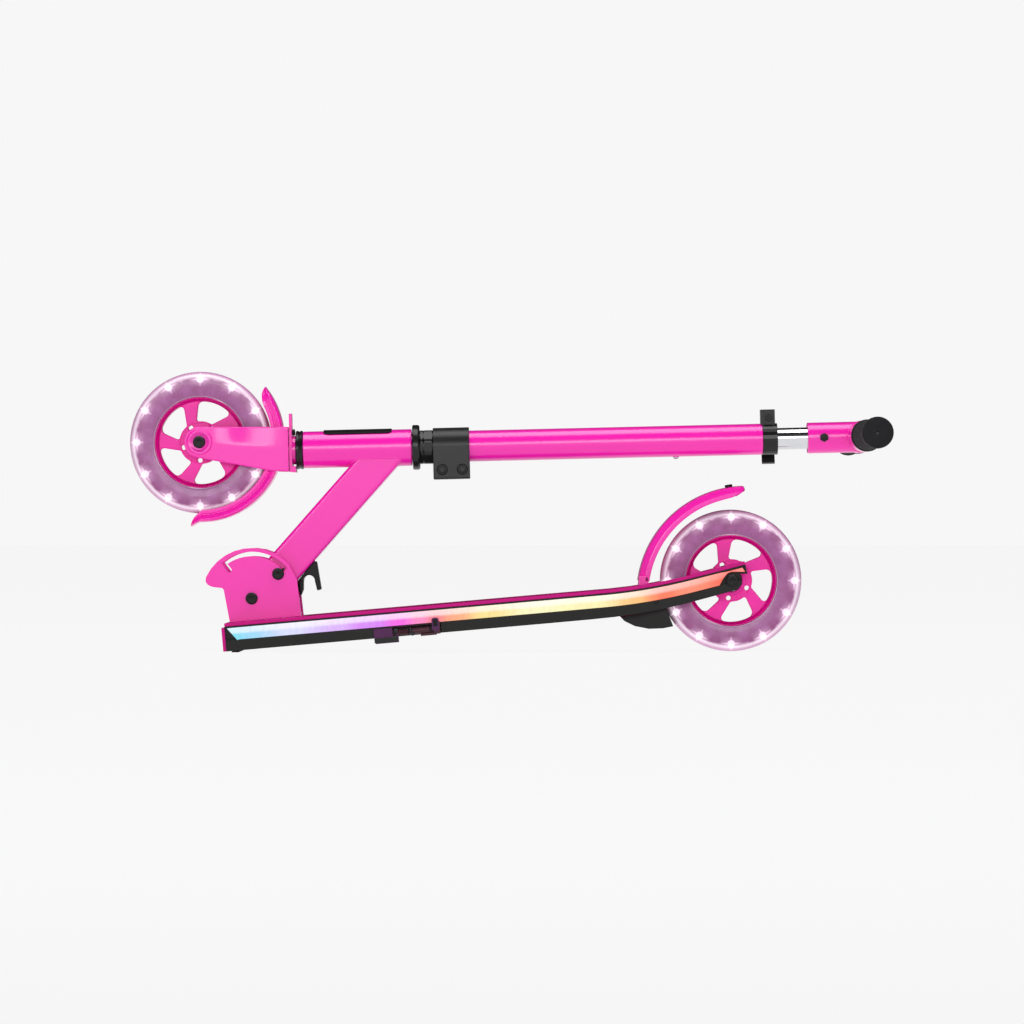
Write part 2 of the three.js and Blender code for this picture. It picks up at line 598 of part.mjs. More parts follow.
// The lever between the bracket's plates: the pin's shank, an arm past the neck, and a finger hook.
function releaseLever() {
  const half = 10.5;
  const hook = new THREE.Shape();
  hook.moveTo(-209.6, 72.6);
  hook.lineTo(-194, 91.5);
  hook.quadraticCurveTo(-191.6, 92.4, -191.2, 90.2);
  hook.lineTo(-186.7, 62.8);
  hook.lineTo(-191, 61.8);
  hook.lineTo(-193.2, 71.4);
  hook.absarc(-199.2, 72, 6, 0, Math.PI, false);
  hook.lineTo(-205.4, 63);
  hook.quadraticCurveTo(-206.2, 57.6, -208.2, 55.4);
  hook.closePath();
  return plate(hook, -half, half);
}

function lockPin() {
  const shank = lockPlace(rodY(2, -BRACKET.inner + GAP, BRACKET.inner - GAP, LOCK.radius, 0, 20));
  const link = outline([[-231, 76], [-208.6, 60], [-207.6, 69.6], [-228.6, 82.4]]);
  return join(shank, plate(link, -3, 3));
}

function lockHead(side) {
  const near = BRACKET.outer + GAP;
  const disc = rodY(6, ...span(side, near, near + 3), LOCK.radius, 0);
  const tooth = box(LOCK.radius + 3, LOCK.radius + 8.6, ...span(side, near, near + 1.6), -1.1, 1.1);
  return lockPlace(join(disc, tooth));
}

// ---------------------------------------------------------------- steering frame (X along the axis)

function headTube() {
  const { u0, u1, radius } = HEAD;
  return rodX(radius, u0, u1, 0, 0, 28);
}

function headsetCup(u0, u1, radius) {
  const waist = radius - 1;
  const mid = (u0 + u1) / 2;
  const profile = closed([[14.4, u0], [radius, u0], [waist, mid], [radius, u1], [14.4, u1]]);
  return turned(profile, 28).rotateZ(-Math.PI / 2);
}

// An eight-sided nut with two flats across Y.
function headsetNut(u0, u1, radius) {
  const octagon = new THREE.CylinderGeometry(radius, radius, u1 - u0, 8)
    .rotateY(22.5 * DEG)
    .rotateZ(-Math.PI / 2)
    .translate((u0 + u1) / 2, 0, 0);
  const bevel = rodX(radius - 0.4, u0 - 1, u1 + 1, 0, 0, 24);
  return carve(overlapOf(octagon, bevel), rodX(STEERER.radius + GAP, u0 - 1, u1 + 1, 0, 0, 28));
}

function headBadge() {
  const { radius } = HEAD;
  const arch = new THREE.Shape();
  arch.absarc(0, 0, radius + GAP + 0.9, 51 * DEG, 129 * DEG, false);
  arch.absarc(0, 0, radius + GAP, 129 * DEG, 51 * DEG, true);
  return bar(arch, -184, -114.5);
}

function fork() {
  const { crown, crownEnd, inner, outer, top, bottom } = FORK;
  const { u, v } = FRONT_AXLE;
  const boss = 15.8;
  const leg = new THREE.Shape();
  leg.moveTo(u, v + boss);
  leg.absarc(u, v, boss, 90 * DEG, 262 * DEG, false);
  leg.lineTo(-238, bottom + 1.2);
  leg.lineTo(crownEnd, bottom);
  leg.lineTo(crownEnd, top);
  leg.closePath();
  const legs = SIDES.map(([, side]) => plate(leg, ...span(side, inner, outer)));
  const bosses = SIDES.map(([, side]) => rodY(13, ...span(side, outer - 1, outer + 1.6), u, v, 32));
  const plateCrown = box(crown, crownEnd, -outer, outer, bottom, top);
  const steerer = ringX(STEERER.bore, STEERER.radius, crownEnd - 1, STEERER.end, 28);
  const race = ringX(STEERER.bore, 14.6, -216, -213, 28);
  const axleHole = rodY(WHEEL.axleRadius + GAP, -30, 30, u, v);
  return carve(join(...legs, ...bosses, plateCrown, steerer, race), axleHole);
}

function fenderBracket() {
  const tab = box(-219.3, -216.4, -15, 15, -22.4, 21);
  const ear = box(-219.3, -216.4, -8, 8, 20, 37.4);
  const curl = box(-216.6, -213, -15, 15, -22.8, -16.5);
  const holes = [27, 32.4].map((v) => rodX(1.6, -222, -214, 0, v, 16));
  return carve(join(tab, ear, curl), rodX(STEERER.radius + GAP, -222, -210, 0, 0, 28), ...holes,
    rodX(2.3, -222, -210, 0, 18.2, 16));
}

const fenderBolt = () => join(rodX(2, -219.4, -215, 0, 18.2, 16), rodX(3.4, -216.1, -213.4, 0, 18.2, 20));

function stemClamp() {
  const { u0, u1, radius, drop, boltU, boltV } = CLAMP;
  const collar = rodX(radius, u0, u1, 0, 0, 28);
  const ears = box(u0, u1, -radius, radius, -drop, 0);
  const slot = box(u0 - 1, u1 + 1, -1.5, 1.5, -drop - 1, 0);
  const bores = boltU.flatMap((u) => [rodY(3.3, -30, 30, u, boltV), rodY(5.6, -30, -radius + 5.3, u, boltV)]);
  return carve(join(collar, ears), rodX(LOWER_BAR.radius + GAP, u0 - 1, u1 + 1, 0, 0, 28), slot, ...bores);
}

function clampBolt(u) {
  const face = -CLAMP.radius;
  const shank = rodY(3, face + 1, CLAMP.radius - 1, u, CLAMP.boltV);
  const head = rodY(5.3, face + 0.1, face + 5, u, CLAMP.boltV);
  const socket = rodY(2.6, face - 1, face + 3, u, CLAMP.boltV, 6);
  return carve(join(shank, head), socket);
}

function lowerBar() {
  const { u0, u1, radius, bore, neckRadius, neckBore, end } = LOWER_BAR;
  const profile = closed([[bore, u0], [radius, u0], [radius, u1], [neckRadius, u1], [neckRadius, end],
    [neckBore, end], [neckBore, u1 - 8], [bore, u1 - 11]]);
  const tube = turned(profile, 28).rotateZ(-Math.PI / 2);
  const button = new THREE.CylinderGeometry(SNAP.radius + GAP, SNAP.radius + GAP, 10, 20)
    .rotateX(Math.PI / 2)
    .translate(SNAP.u, 0, -radius);
  return carve(tube, button);
}

function snapButton() {
  const { radius, from, to } = SNAP;
  const rise = 2;
  const dome = steps(0, 75, 3).map((a) => [radius * Math.cos(a * DEG), rise * Math.sin(a * DEG) - to - rise]);
  const profile = [[0, -from], [radius, -from], ...dome, [0, -to]];
  return turned(profile, 14).rotateX(-Math.PI / 2).translate(SNAP.u, 0, 0);
}

function quickCollar() {
  const { u, halfLength, radius, earTop, boltV } = QUICK;
  const ring = rodX(radius, 264.9, 279.9, 0, 0, 28);
  const ears = box(u - halfLength - 1, u + halfLength - 1, -7, 7, 12, earTop);
  const slot = box(262, 284, -1.4, 1.4, 10, 40);
  const bore = rodX(LOWER_BAR.neckRadius + GAP, 260, 290, 0, 0, 28);
  const step = rodX(LOWER_BAR.radius + GAP, 250, 264.9, 0, 0, 28);
  return carve(join(ring, ears), bore, step, slot, rodY(2.8, -20, 20, u, boltV));
}

function quickBolt() {
  const { u, boltV, pinY } = QUICK;
  const eye = carve(rodX(4, u - 2.7, u + 2.7, pinY, boltV), rodX(2.1, u - 9, u + 9, pinY, boltV, 20));
  const head = rodY(4.2, -9.6, -7.3, u, boltV, 6);
  return join(rodY(2.5, -8, pinY - 2.6, u, boltV, 20), head, eye);
}

// The cam lever: two cheeks on a pin through the bolt's eye, and a blade down the tube's far side.
function quickLever() {
  const { u, boltV, pinY } = QUICK;
  const cheeks = [[u - 6.6, u - 3], [u + 3, u + 6.6]].map(([a, b]) => rodX(5.4, a, b, pinY, boltV));
  const blade = new THREE.Shape();
  blade.moveTo(pinY + 1, boltV - 4.6);
  blade.lineTo(pinY + 5.3, boltV - 1);
  blade.quadraticCurveTo(22.6, 6, 22.2, -4);
  blade.quadraticCurveTo(22, -18, 18.6, -25.2);
  blade.lineTo(14.6, -24);
  blade.quadraticCurveTo(18.4, -12, 17.6, 0);
  blade.quadraticCurveTo(17.2, 10, pinY + 1, boltV - 4.6);
  const strip = bar(blade, u - 6.6, u + 6.6, 6);
  const pin = rodX(1.8, u - 5, u + 5, pinY, boltV, 20);
  const eyeRoom = rodX(4.7, u - 3, u + 3, pinY, boltV);
  return join(carve(join(strip, ...cheeks), eyeRoom), pin);
}

function innerBar() {
  const { u0, u1, radius, bore } = INNER_BAR;
  return carve(ringX(bore, radius, u0, u1, 28), rodY(T_BOLT.radius + GAP, -20, 20, T_BOLT.u, 0, 12));
}

function tJoint() {
  const { u, sleeve, sleeveHalf, radius } = BAR;
  const body = join(rodX(sleeve, 310.8, u, 0, 0, 28), rodY(sleeve, -sleeveHalf, sleeveHalf, u, 0, 28));
  const stemBore = rodX(INNER_BAR.radius + GAP, 300, INNER_BAR.u1 + GAP, 0, 0, 28);
  const barBore = rodY(radius + GAP, -60, 60, u, 0, 28);
  return carve(body, stemBore, barBore, rodY(2.8, -30, 30, T_BOLT.u, 0));
}

function tJointBolt() {
  const { u, radius, head } = T_BOLT;
  const near = BAR.sleeve + 0.2;
  const ends = SIDES.map(([, side]) => rodY(head, ...span(side, near, near + 2.2), 0, 0, 6));
  const body = join(rodY(radius, -BAR.sleeve - 1, BAR.sleeve + 1, 0, 0, 20), ...ends);
  return body.rotateY(30 * DEG).translate(u, 0, 0);
}

function crossbar() {
  const { u, bore, radius, half } = BAR;
  return ringY(bore, radius, -half, half, 28).translate(u, 0, 0);
}

function grip(side) {
  const { radius, half, gripHalf, sleeveHalf } = BAR;
  const inner = radius + GAP;
  const start = sleeveHalf + GAP;
  const profile = closed([[inner, start], [16.3, start], [16.3, start + 3], [14.8, start + 4.6],
    [15.7, gripHalf - 2], [14.8, gripHalf], [1.2, gripHalf], [1.2, half + GAP], [inner, half + GAP]]);
  const tube = turned(profile, 24);
  return (side < 0 ? tube.rotateX(Math.PI) : tube).translate(BAR.u, 0, 0);
}

// ---------------------------------------------------------------- assembly

const scooter = new THREE.Group();

const deck = new THREE.Group();
scooter.add(deck);
piece(deck, "deck_platform", "pink", deckPlatform());
piece(deck, "grip_tape", "grip", gripSheet(false));
SIDES.forEach(([name, side]) => {
  piece(deck, `${name}_side_trim`, "black", sideTrim(side));
  piece(deck, `${name}_light_strip`, "light", lightStrip(side));
});
piece(deck, "front_end_plate", "pink", frontEndPlate());
piece(deck, "deck_foot", "rubber", box(-276, -269, -40, 40, 0, 1.2));
piece(deck, "fold_bracket", "pink", foldBracket());
piece(deck, "fold_pivot_bolt", "steel", foldPivotBolt()).position.set(PIVOT.x, 0, PIVOT.z);
piece(deck, "battery_box", "black", batteryBox());
piece(deck, "battery_pack", "black", batteryPack());
piece(deck, "power_button", "rubber", powerButton());
piece(deck, "kickstand_bracket", "black", kickstandBracket());
piece(deck, "kickstand_leg", "black", kickstandLeg());
piece(deck, "kickstand_spring", "steel", kickstandSpring());
const rearAxle = axle(deckHalfWidth(REAR_AXLE.x), DECK.slotHalf);
piece(deck, "rear_axle", "steel", rearAxle).position.set(REAR_AXLE.x, 0, REAR_AXLE.z);
piece(deck, "brake_pivot_pin", "steel", brakePivotPin()).position.set(BRAKE_PIVOT.x, 0, BRAKE_PIVOT.z);
piece(deck, "brake_spring", "bare", brakeSpring()).position.set(BRAKE_PIVOT.x, 0, BRAKE_PIVOT.z);

const brake = new THREE.Group();
scooter.add(brake);
piece(brake, "rear_fender", "pink", rearFender());
piece(brake, "brake_pad", "rubber", brakePad());
piece(brake, "brake_pad_bolt", "steel", brakePadBolt());

const rearWheel = new THREE.Group();
rearWheel.position.set(REAR_AXLE.x, 0, REAR_AXLE.z);
rearWheel.rotation.y = 5 * DEG;
scooter.add(rearWheel);
wheel("rear", rearWheel);

// Everything on the steering axis hangs in this frame: X runs along the axis towards the handlebar.
const steering = new THREE.Group();
steering.position.z = STEER.z;
steering.rotation.y = -STEER.tilt * DEG;
scooter.add(steering);

function neckFrame() {
  steering.updateMatrixWorld(true);
  const tube = headTube().applyMatrix4(steering.matrixWorld);
  const bore = rodX(HEAD.bore, HEAD.u0 - 5, HEAD.u1 + 5, 0, 0, 28).applyMatrix4(steering.matrixWorld);
  return carve(join(tube, neckTube()), bore);
}

piece(scooter, "neck_frame", "pink", neckFrame());
piece(scooter, "release_lever", "black", join(releaseLever(), lockPin()));
SIDES.forEach(([name, side]) => piece(scooter, `lock_pin_${name}_head`, "steel", lockHead(side)));

piece(steering, "headset_lower_cup", "black", headsetCup(-212.6, -205.6, 19.9));
piece(steering, "headset_upper_cup", "black", headsetCup(-93.4, -86, 23));
piece(steering, "head_badge", "black", headBadge());
piece(steering, "fork", "pink", fork());
piece(steering, "front_fender", "pink", frontFender()).position.set(FRONT_FENDER.u, 0, FRONT_FENDER.v);
piece(steering, "fender_bracket", "pink", fenderBracket());
piece(steering, "fender_bolt", "steel", fenderBolt());
piece(steering, "headset_adjusting_nut", "black", headsetNut(-85.7, -82.4, 18.5));
piece(steering, "headset_lock_nut", "black", headsetNut(-82, -72.8, 18.5));
piece(steering, "stem_clamp", "black", stemClamp());
CLAMP.boltU.forEach((u, i) => piece(steering, `stem_clamp_bolt_${i + 1}`, "steel", clampBolt(u)));
piece(steering, "lower_bar", "pink", lowerBar());
piece(steering, "snap_button", "bare", snapButton());
piece(steering, "height_clamp", "black", quickCollar());
piece(steering, "height_clamp_bolt", "steel", quickBolt());
piece(steering, "height_clamp_lever", "black", quickLever());
piece(steering, "inner_bar", "chrome", innerBar());
piece(steering, "t_joint", "pink", tJoint());
piece(steering, "t_joint_bolt", "steel", tJointBolt());
piece(steering, "crossbar", "bare", crossbar());
SIDES.forEach(([name, side]) => piece(steering, `${name}_grip`, "grip", grip(side)));
const frontAxle = axle(FORK.outer + 1.6, FORK.inner);
piece(steering, "front_axle", "steel", frontAxle).position.set(FRONT_AXLE.u, 0, FRONT_AXLE.v);

const frontWheel = new THREE.Group();
frontWheel.position.set(FRONT_AXLE.u, 0, FRONT_AXLE.v);
steering.add(frontWheel);
wheel("front", frontWheel);

export default scooter;
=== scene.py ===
"""A folded pink kick scooter with light-up wheels and a light strip along each side of its deck.

Lengths in this file are millimetres until they reach a mesh. Pieces on the steering axis are drawn in the
steering frame, whose X runs along the axis (u), and placed by STEERING. Flat pieces are drawn as outlines.
"""

import json
import math

import bmesh
import bpy
from mathutils import Matrix, Vector


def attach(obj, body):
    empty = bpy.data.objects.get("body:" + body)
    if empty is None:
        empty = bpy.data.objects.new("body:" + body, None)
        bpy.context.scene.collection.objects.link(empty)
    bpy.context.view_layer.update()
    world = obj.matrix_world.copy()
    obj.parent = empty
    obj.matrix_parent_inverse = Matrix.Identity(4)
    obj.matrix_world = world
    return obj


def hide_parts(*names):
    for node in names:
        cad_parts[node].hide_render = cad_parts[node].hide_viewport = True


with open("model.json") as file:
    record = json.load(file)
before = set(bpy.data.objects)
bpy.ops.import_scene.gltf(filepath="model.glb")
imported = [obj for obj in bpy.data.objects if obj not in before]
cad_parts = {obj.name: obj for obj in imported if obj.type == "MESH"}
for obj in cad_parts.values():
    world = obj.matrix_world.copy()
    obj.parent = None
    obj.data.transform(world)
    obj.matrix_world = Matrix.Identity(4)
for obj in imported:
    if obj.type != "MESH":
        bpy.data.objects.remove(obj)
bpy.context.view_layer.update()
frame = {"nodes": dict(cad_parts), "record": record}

# ---------------------------------------------------------------- sizes

MM = 0.001
AXIS_HEIGHT = 210.9
TILT = 1.35
STEERING = Matrix.Translation((0, 0, AXIS_HEIGHT * MM)) @ Matrix.Rotation(math.radians(-TILT), 4, "Y")
ALONG_X = Matrix.Rotation(math.radians(90), 4, "Y")
ALONG_Y = Matrix.Rotation(math.radians(-90), 4, "X")
FLIP = Matrix.Rotation(math.pi, 4, "X")
SIDES = (("left", -1), ("right", 1))
# turns a piece that stands on the XY plane to point away from the middle, to the left or the right
OUTWARD = {-1: FLIP @ ALONG_Y, 1: ALONG_Y}
# edges sharper than this many degrees stay sharp
SHARP = 38

# radii of the wheels and their rims
WHEEL = 72.48
RIM = 46.6
SPOKES = 5
LAMPS = 12
# the rear axle, fold pivot, brake pivot and kickstand pivot are in X and Z, and the front axle in the steering frame
REAR_AXLE = (232.2, 72.5)
FRONT_AXLE = (-310.2, 10)
PIVOT = (-256.7, 54.4)
BRAKE_PIVOT = (155, 50.4)
KICK = (-119.2, 18.7)
# the lock pin from the fold pivot: direction in degrees, and distance
LOCK_ANGLE = 42.8
LOCK_RADIUS = 36.7
# direction of the neck in degrees, and radius of the fork's ends
NECK_ANGLE = 48.7
FORK_END = 15.8
# the crown at the fork's top, along the steering axis
CROWN = -219.8
# a fender's side face, as distance in from the crown and back from the widest point
REAR_WALL = ((0.7, 4), (1.5, 2.6), (7, 0.2), (7.8, 0))
FRONT_WALL = ((0.7, 3.2), (1.8, 1), (3.4, 0), (8.2, 1.9), (9.1, 0.3))
DECK = {"front": -281.6, "front_z": 15.35, "slope": 5, "bend": 96.6, "bend_radius": 580, "rear_slope": 14.8,
        "height": 28.4, "rear_height": 25.9, "half": 52, "rear_half": 32, "taper": (20, 200)}
DECK_TILT = math.tan(math.radians(DECK["slope"]))

# ---------------------------------------------------------------- node materials


def srgb(red, green, blue):
    """A linear colour from the 0 to 255 values seen on a screen."""
    channels = [c / 255 for c in (red, green, blue)]
    return [c / 12.92 if c <= 0.04045 else ((c + 0.055) / 1.055) ** 2.4 for c in channels] + [1]


class Graph:
    """Short calls that build the nodes of a material or a world. Its shader is the node before the output."""

    def __init__(self, owner, shader="Principled BSDF"):
        owner.use_nodes = True
        self.owner = owner
        self.tree = owner.node_tree
        self.shader = self.tree.nodes[shader]

    def node(self, kind, inputs=(), **settings):
        made = self.tree.nodes.new("ShaderNode" + kind)
        for key, value in settings.items():
            setattr(made, key, value)
        for key, value in dict(inputs).items():
            self.put(made.inputs[key], value)
        return made

    def put(self, socket, value):
        if isinstance(value, bpy.types.NodeSocket):
            self.tree.links.new(value, socket)
        else:
            socket.default_value = value

    def set(self, name, value):
        self.put(self.shader.inputs[name], value)

    def math(self, operation, *values):
        return self.node("Math", enumerate(values), operation=operation).outputs[0]

    def times(self, a, b):
        return self.math("MULTIPLY", a, b)

    def plus(self, a, b):
        return self.math("ADD", a, b)

    def minus(self, a, b):
        return self.math("SUBTRACT", a, b)

    def coordinates(self, kind="Object"):
        return self.node("TexCoord").outputs[kind]

    def noise(self, scale, detail=3, roughness=0.5, vector=None):
        inputs = {"Vector": vector or self.coordinates(), "Scale": scale, "Detail": detail, "Roughness": roughness}
        return self.node("TexNoise", inputs).outputs["Fac"]

    def mottled(self, scale, detail, low, high):
        """Noise that runs from low to high."""
        return self.scaled(self.noise(scale, detail), 0.3, 0.7, low, high)

    def from_axle(self):
        """X, Z and the distance from the Y axis."""
        x, _, z = self.node("SeparateXYZ", {"Vector": self.coordinates()}).outputs
        return x, z, self.math("SQRT", self.plus(self.times(x, x), self.times(z, z)))

    def ramp(self, factor, stops):
        made = self.node("ValToRGB", {"Fac": factor})
        elements = made.color_ramp.elements
        made.color_ramp.interpolation = "EASE"
        while len(elements) < len(stops):
            elements.new(0.5)
        for element, (place, colour) in zip(elements, stops):
            element.position = place
            element.color = colour
        return made.outputs["Color"]

    def mix(self, factor, a, b):
        made = self.node("Mix", data_type="RGBA")
        self.put(made.inputs[0], factor)
        self.put(made.inputs[6], a)
        self.put(made.inputs[7], b)
        return made.outputs[2]

    def scaled(self, value, low, high, to_low, to_high):
        inputs = {"Value": value, "From Min": low, "From Max": high, "To Min": to_low, "To Max": to_high}
        return self.node("MapRange", inputs).outputs["Result"]

    def bump(self, height, strength, distance=0.0004):
        made = self.node("Bump", {"Height": height, "Strength": strength, "Distance": distance})
        self.set("Normal", made.outputs["Normal"])


def finish(name, colour, roughness, metallic=0.0, coat=0.0, grain=900, depth=0.08, tint=0.06, shine=0.5):
    """A surface with cloudy colour, uneven gloss and fine grain."""
    g = Graph(bpy.data.materials.new(name))
    dark = [c * (1 - 2 * tint) for c in colour[:3]] + [1]
    light = [min(1, c * (1 + tint) + tint * 0.05) for c in colour[:3]] + [1]
    g.set("Base Color", g.mix(g.noise(14, 4), dark, light))
    g.set("Roughness", g.mottled(24, 2, roughness * 0.94, roughness * 1.06))
    g.set("Metallic", metallic)
    g.set("Specular IOR Level", shine)
    g.set("Coat Weight", coat)
    g.set("Coat Roughness", 0.14)
    g.bump(g.noise(grain, 2), depth)
    return g.owner


MATERIALS = {
    "frame_pink": finish("pink_paint", srgb(250, 21, 178), 0.3, coat=0.7, grain=700, depth=0.02, tint=0.02,
                         shine=0.4),
    "deck_pink": finish("pink_anodised", srgb(200, 2, 126), 0.4, grain=1500, depth=0.05, tint=0.03, shine=0.15),
    "black_plastic": finish("black_plastic", srgb(25, 24, 23), 0.5, grain=2600, depth=0.15, shine=0.22),
    "black_alloy": finish("black_alloy", srgb(30, 30, 31), 0.34, grain=1800, depth=0.1, shine=0.32),
    "black_metal": finish("black_paint", srgb(18, 18, 19), 0.3, coat=0.3, grain=1100, depth=0.05, shine=0.2),
    "dark_steel": finish("dark_steel", srgb(14, 14, 15), 0.32, grain=2200, depth=0.08, shine=0.2),
    "bare_steel": finish("zinc_steel", srgb(190, 192, 196), 0.25, 1.0, 0, grain=1600, depth=0.08, tint=0.08),
    "black_rubber": finish("black_rubber", srgb(28, 28, 29), 0.75, grain=1800, depth=0.4, shine=0.2),
    "battery_wrap": finish("battery_wrap", srgb(66, 84, 128), 0.35, grain=900, depth=0.05),
}


def wheel_plastic():
    """Pink moulding, with painted shade: darker on the rim's slanted face than on the spokes."""
    g = Graph(bpy.data.materials.new("pink_moulding"))
    _, _, radius = g.from_axle()
    # painted shade: the rim's slanted face, out from about 42 mm, is darker than the spokes
    rim = g.scaled(radius, 41.6 * MM, 42 * MM, 0, 1)
    spoke = g.mix(g.noise(18, 3), srgb(240, 20, 162), srgb(245, 26, 170))
    g.set("Base Color", g.mix(rim, spoke, srgb(208, 2, 130)))
    g.set("Specular IOR Level", 0.35)
    g.set("Roughness", g.mottled(60, 3, 0.26, 0.34))
    g.set("Coat Weight", 0.15)
    g.bump(g.noise(500, 2), 0.03)
    return g.owner


def chrome():
    g = Graph(bpy.data.materials.new("chrome_tube"))
    g.set("Base Color", g.mix(g.noise(30, 3), srgb(205, 206, 210), srgb(240, 240, 243)))
    g.set("Metallic", 1.0)
    g.set("Roughness", g.mottled(220, 4, 0.06, 0.14))
    g.bump(g.noise(420, 2), 0.02)
    return g.owner


def grit():
    """The abrasive sheet that the rider stands on: sparkling grains on a dark ground."""
    g = Graph(bpy.data.materials.new("grip_sheet"))
    cells = g.node("TexVoronoi", {"Vector": g.coordinates(), "Scale": 1500})
    grain = g.scaled(cells.outputs["Distance"], 0, 0.6, 1, 0)
    speck = g.math("GREATER_THAN", g.noise(1900, 2), 0.66)
    base = g.mix(g.noise(25, 4), srgb(30, 28, 30), srgb(52, 48, 52))
    g.set("Base Color", g.mix(speck, base, srgb(150, 140, 150)))
    g.set("Roughness", g.scaled(speck, 0, 1, 0.92, 0.45))
    g.bump(grain, 0.9, 0.0006)
    return g.owner


def foam():
    """Grip rubber with a fine dimpled skin."""
    g = Graph(bpy.data.materials.new("grip_rubber"))
    cells = g.node("TexVoronoi", {"Vector": g.coordinates(), "Scale": 700})
    pits = g.scaled(cells.outputs["Distance"], 0, 0.5, 0, 1)
    g.set("Base Color", g.mix(g.noise(20, 4), srgb(22, 22, 24), srgb(32, 32, 35)))
    g.set("Specular IOR Level", 0.2)
    g.set("Roughness", g.mottled(90, 3, 0.68, 0.85))
    g.set("Sheen Weight", 0.05)
    g.bump(pits, 0.35, 0.0003)
    return g.owner


def light_cover():
    """The lit strip: one colour runs into the next along it, and it is paler in its upper half."""
    g = Graph(bpy.data.materials.new("light_cover"))
    along, up = g.node("SeparateXYZ", {"Vector": g.coordinates("UV")}).outputs[:2]
    hues = [
        (0.0, srgb(96, 220, 240)), (0.05, srgb(140, 212, 246)), (0.13, srgb(214, 216, 252)),
        (0.22, srgb(214, 170, 248)), (0.28, srgb(212, 110, 246)), (0.33, srgb(246, 62, 226)),
        (0.37, srgb(250, 120, 190)), (0.405, srgb(244, 105, 128)), (0.45, srgb(250, 160, 106)),
        (0.50, srgb(248, 222, 130)), (0.60, srgb(252, 246, 190)), (0.71, srgb(252, 240, 170)),
        (0.78, srgb(250, 190, 104)), (0.84, srgb(255, 104, 54)), (0.90, srgb(255, 132, 98)),
        (0.97, srgb(252, 84, 62)),
    ]
    wobble = g.mottled(26, 2, -0.012, 0.012)
    hue = g.ramp(g.plus(along, wobble), hues)
    pale = g.times(g.scaled(up, 0.42, 0.62, 0.08, 0.58), g.scaled(along, 0.78, 0.96, 1, 0.2))
    hue = g.mix(pale, hue, srgb(255, 250, 250))
    streak = g.node("Mapping", {"Vector": g.coordinates("UV"), "Scale": (160, 1.5, 1)}).outputs[0]
    ripple = g.scaled(g.noise(1, 2, vector=streak), 0.25, 0.75, 0.86, 1.04)
    g.set("Base Color", g.mix(0.8, hue, srgb(20, 20, 22)))
    g.set("Emission Color", hue)
    g.set("Emission Strength", g.times(ripple, 0.86))
    g.set("Roughness", g.mottled(300, 2, 0.22, 0.34))
    g.bump(g.noise(500, 2), 0.06)
    return g.owner


def tyre_skin():
    """Cloudy mauve moulding round twelve lamps, with painted light: painted shade between the lamps, a painted
    highlight ring, painted flare rays and a painted halo round each lamp; and a pale clear outer band.
    """
    g = Graph(bpy.data.materials.new("tyre_skin"))
    x, z, radius = g.from_axle()
    turn = g.math("ARCTAN2", z, x)
    sector = 2 * math.pi / LAMPS
    around = g.math("WRAP", turn, 2 * math.pi, 0)
    inside = g.math("WRAP", g.plus(around, sector / 2), sector, 0)
    # how far a point is from the nearest lamp, round the tyre and out from the axle
    side = g.math("ABSOLUTE", g.times(g.minus(inside, sector / 2), radius))
    height = g.math("ABSOLUTE", g.minus(radius, 64.6 * MM))

    def falls(value, start, end, top=1):
        """From top down to 0 between two distances in millimetres."""
        return g.scaled(value, start * MM, end * MM, top, 0)

    def rises(value, start, end, top=1):
        return g.scaled(value, start * MM, end * MM, 0, top)

    def ring(middle, inner, outer, top):
        """A line round the tyre, at full strength within inner of its middle, and gone at outer."""
        return falls(g.math("ABSOLUTE", g.minus(radius, middle * MM)), inner, outer, top)

    # soft clouds, and painted shade that darkens the tyre between the lamps, away from their light
    clouds = g.node("CombineXYZ", {0: g.times(turn, 2.4), 1: g.times(radius, 30)}).outputs[0]
    tuft = g.noise(2.6, 3, 0.55, clouds)
    painted_shade_between_lamps = g.times(rises(side, 4, 13), rises(radius, 56, 64))
    # pale clear band outside, with a painted highlight ring on its inner edge
    ragged = g.plus(radius, g.scaled(tuft, 0.3, 0.7, -1.2 * MM, 1.2 * MM))
    painted_highlight_ring = ring(68, 0.4, 2, 0.9)
    body = g.mix(g.scaled(tuft, 0.34, 0.66, 0, 1), srgb(150, 74, 132), srgb(166, 92, 154))
    for share_of, colour in (
        (g.times(painted_shade_between_lamps, 0.6), (146, 64, 122)),
        (falls(radius, 47, 54, 0.5), (144, 82, 132)),
        (ring(47.1, 0.1, 0.7, 0.8), (205, 170, 200)),
        (rises(ragged, 64.6, 67), (222, 178, 210)),
        (painted_highlight_ring, (244, 222, 240)),
        (rises(radius, 70, 71.8, 0.8), (208, 134, 188)),
    ):
        body = g.mix(share_of, body, srgb(*colour))
    # lamps: a core, with painted flare of four long rays and a painted halo of glow round it
    core = g.scaled(g.plus(g.times(side, side), g.times(height, height)), 4 * MM * MM, 18 * MM * MM, 1, 0)
    painted_flare_rays = g.math("MAXIMUM", g.times(falls(height, 0, 1.2), falls(side, 1, 11)),
                  g.times(falls(side, 0, 1.2), falls(height, 1, 8)))
    painted_halo = g.times(falls(side, 0, 12), falls(height, 0, 7.5))
    lamp_and_painted_flare = g.math("MINIMUM", g.plus(g.math("MAXIMUM", core, painted_flare_rays), g.times(painted_halo, 0.42)), 1)
    g.set("Base Color", body)
    g.set("Emission Color", srgb(255, 240, 250))
    # the painted highlight ring glows a little too
    g.set("Emission Strength", g.times(g.plus(lamp_and_painted_flare, g.times(painted_highlight_ring, 0.1)), 0.9))
    g.set("Roughness", g.mottled(120, 3, 0.24, 0.36))
    g.set("Coat Weight", 0.2)
    g.bump(tuft, 0.05, 0.0006)
    return g.owner


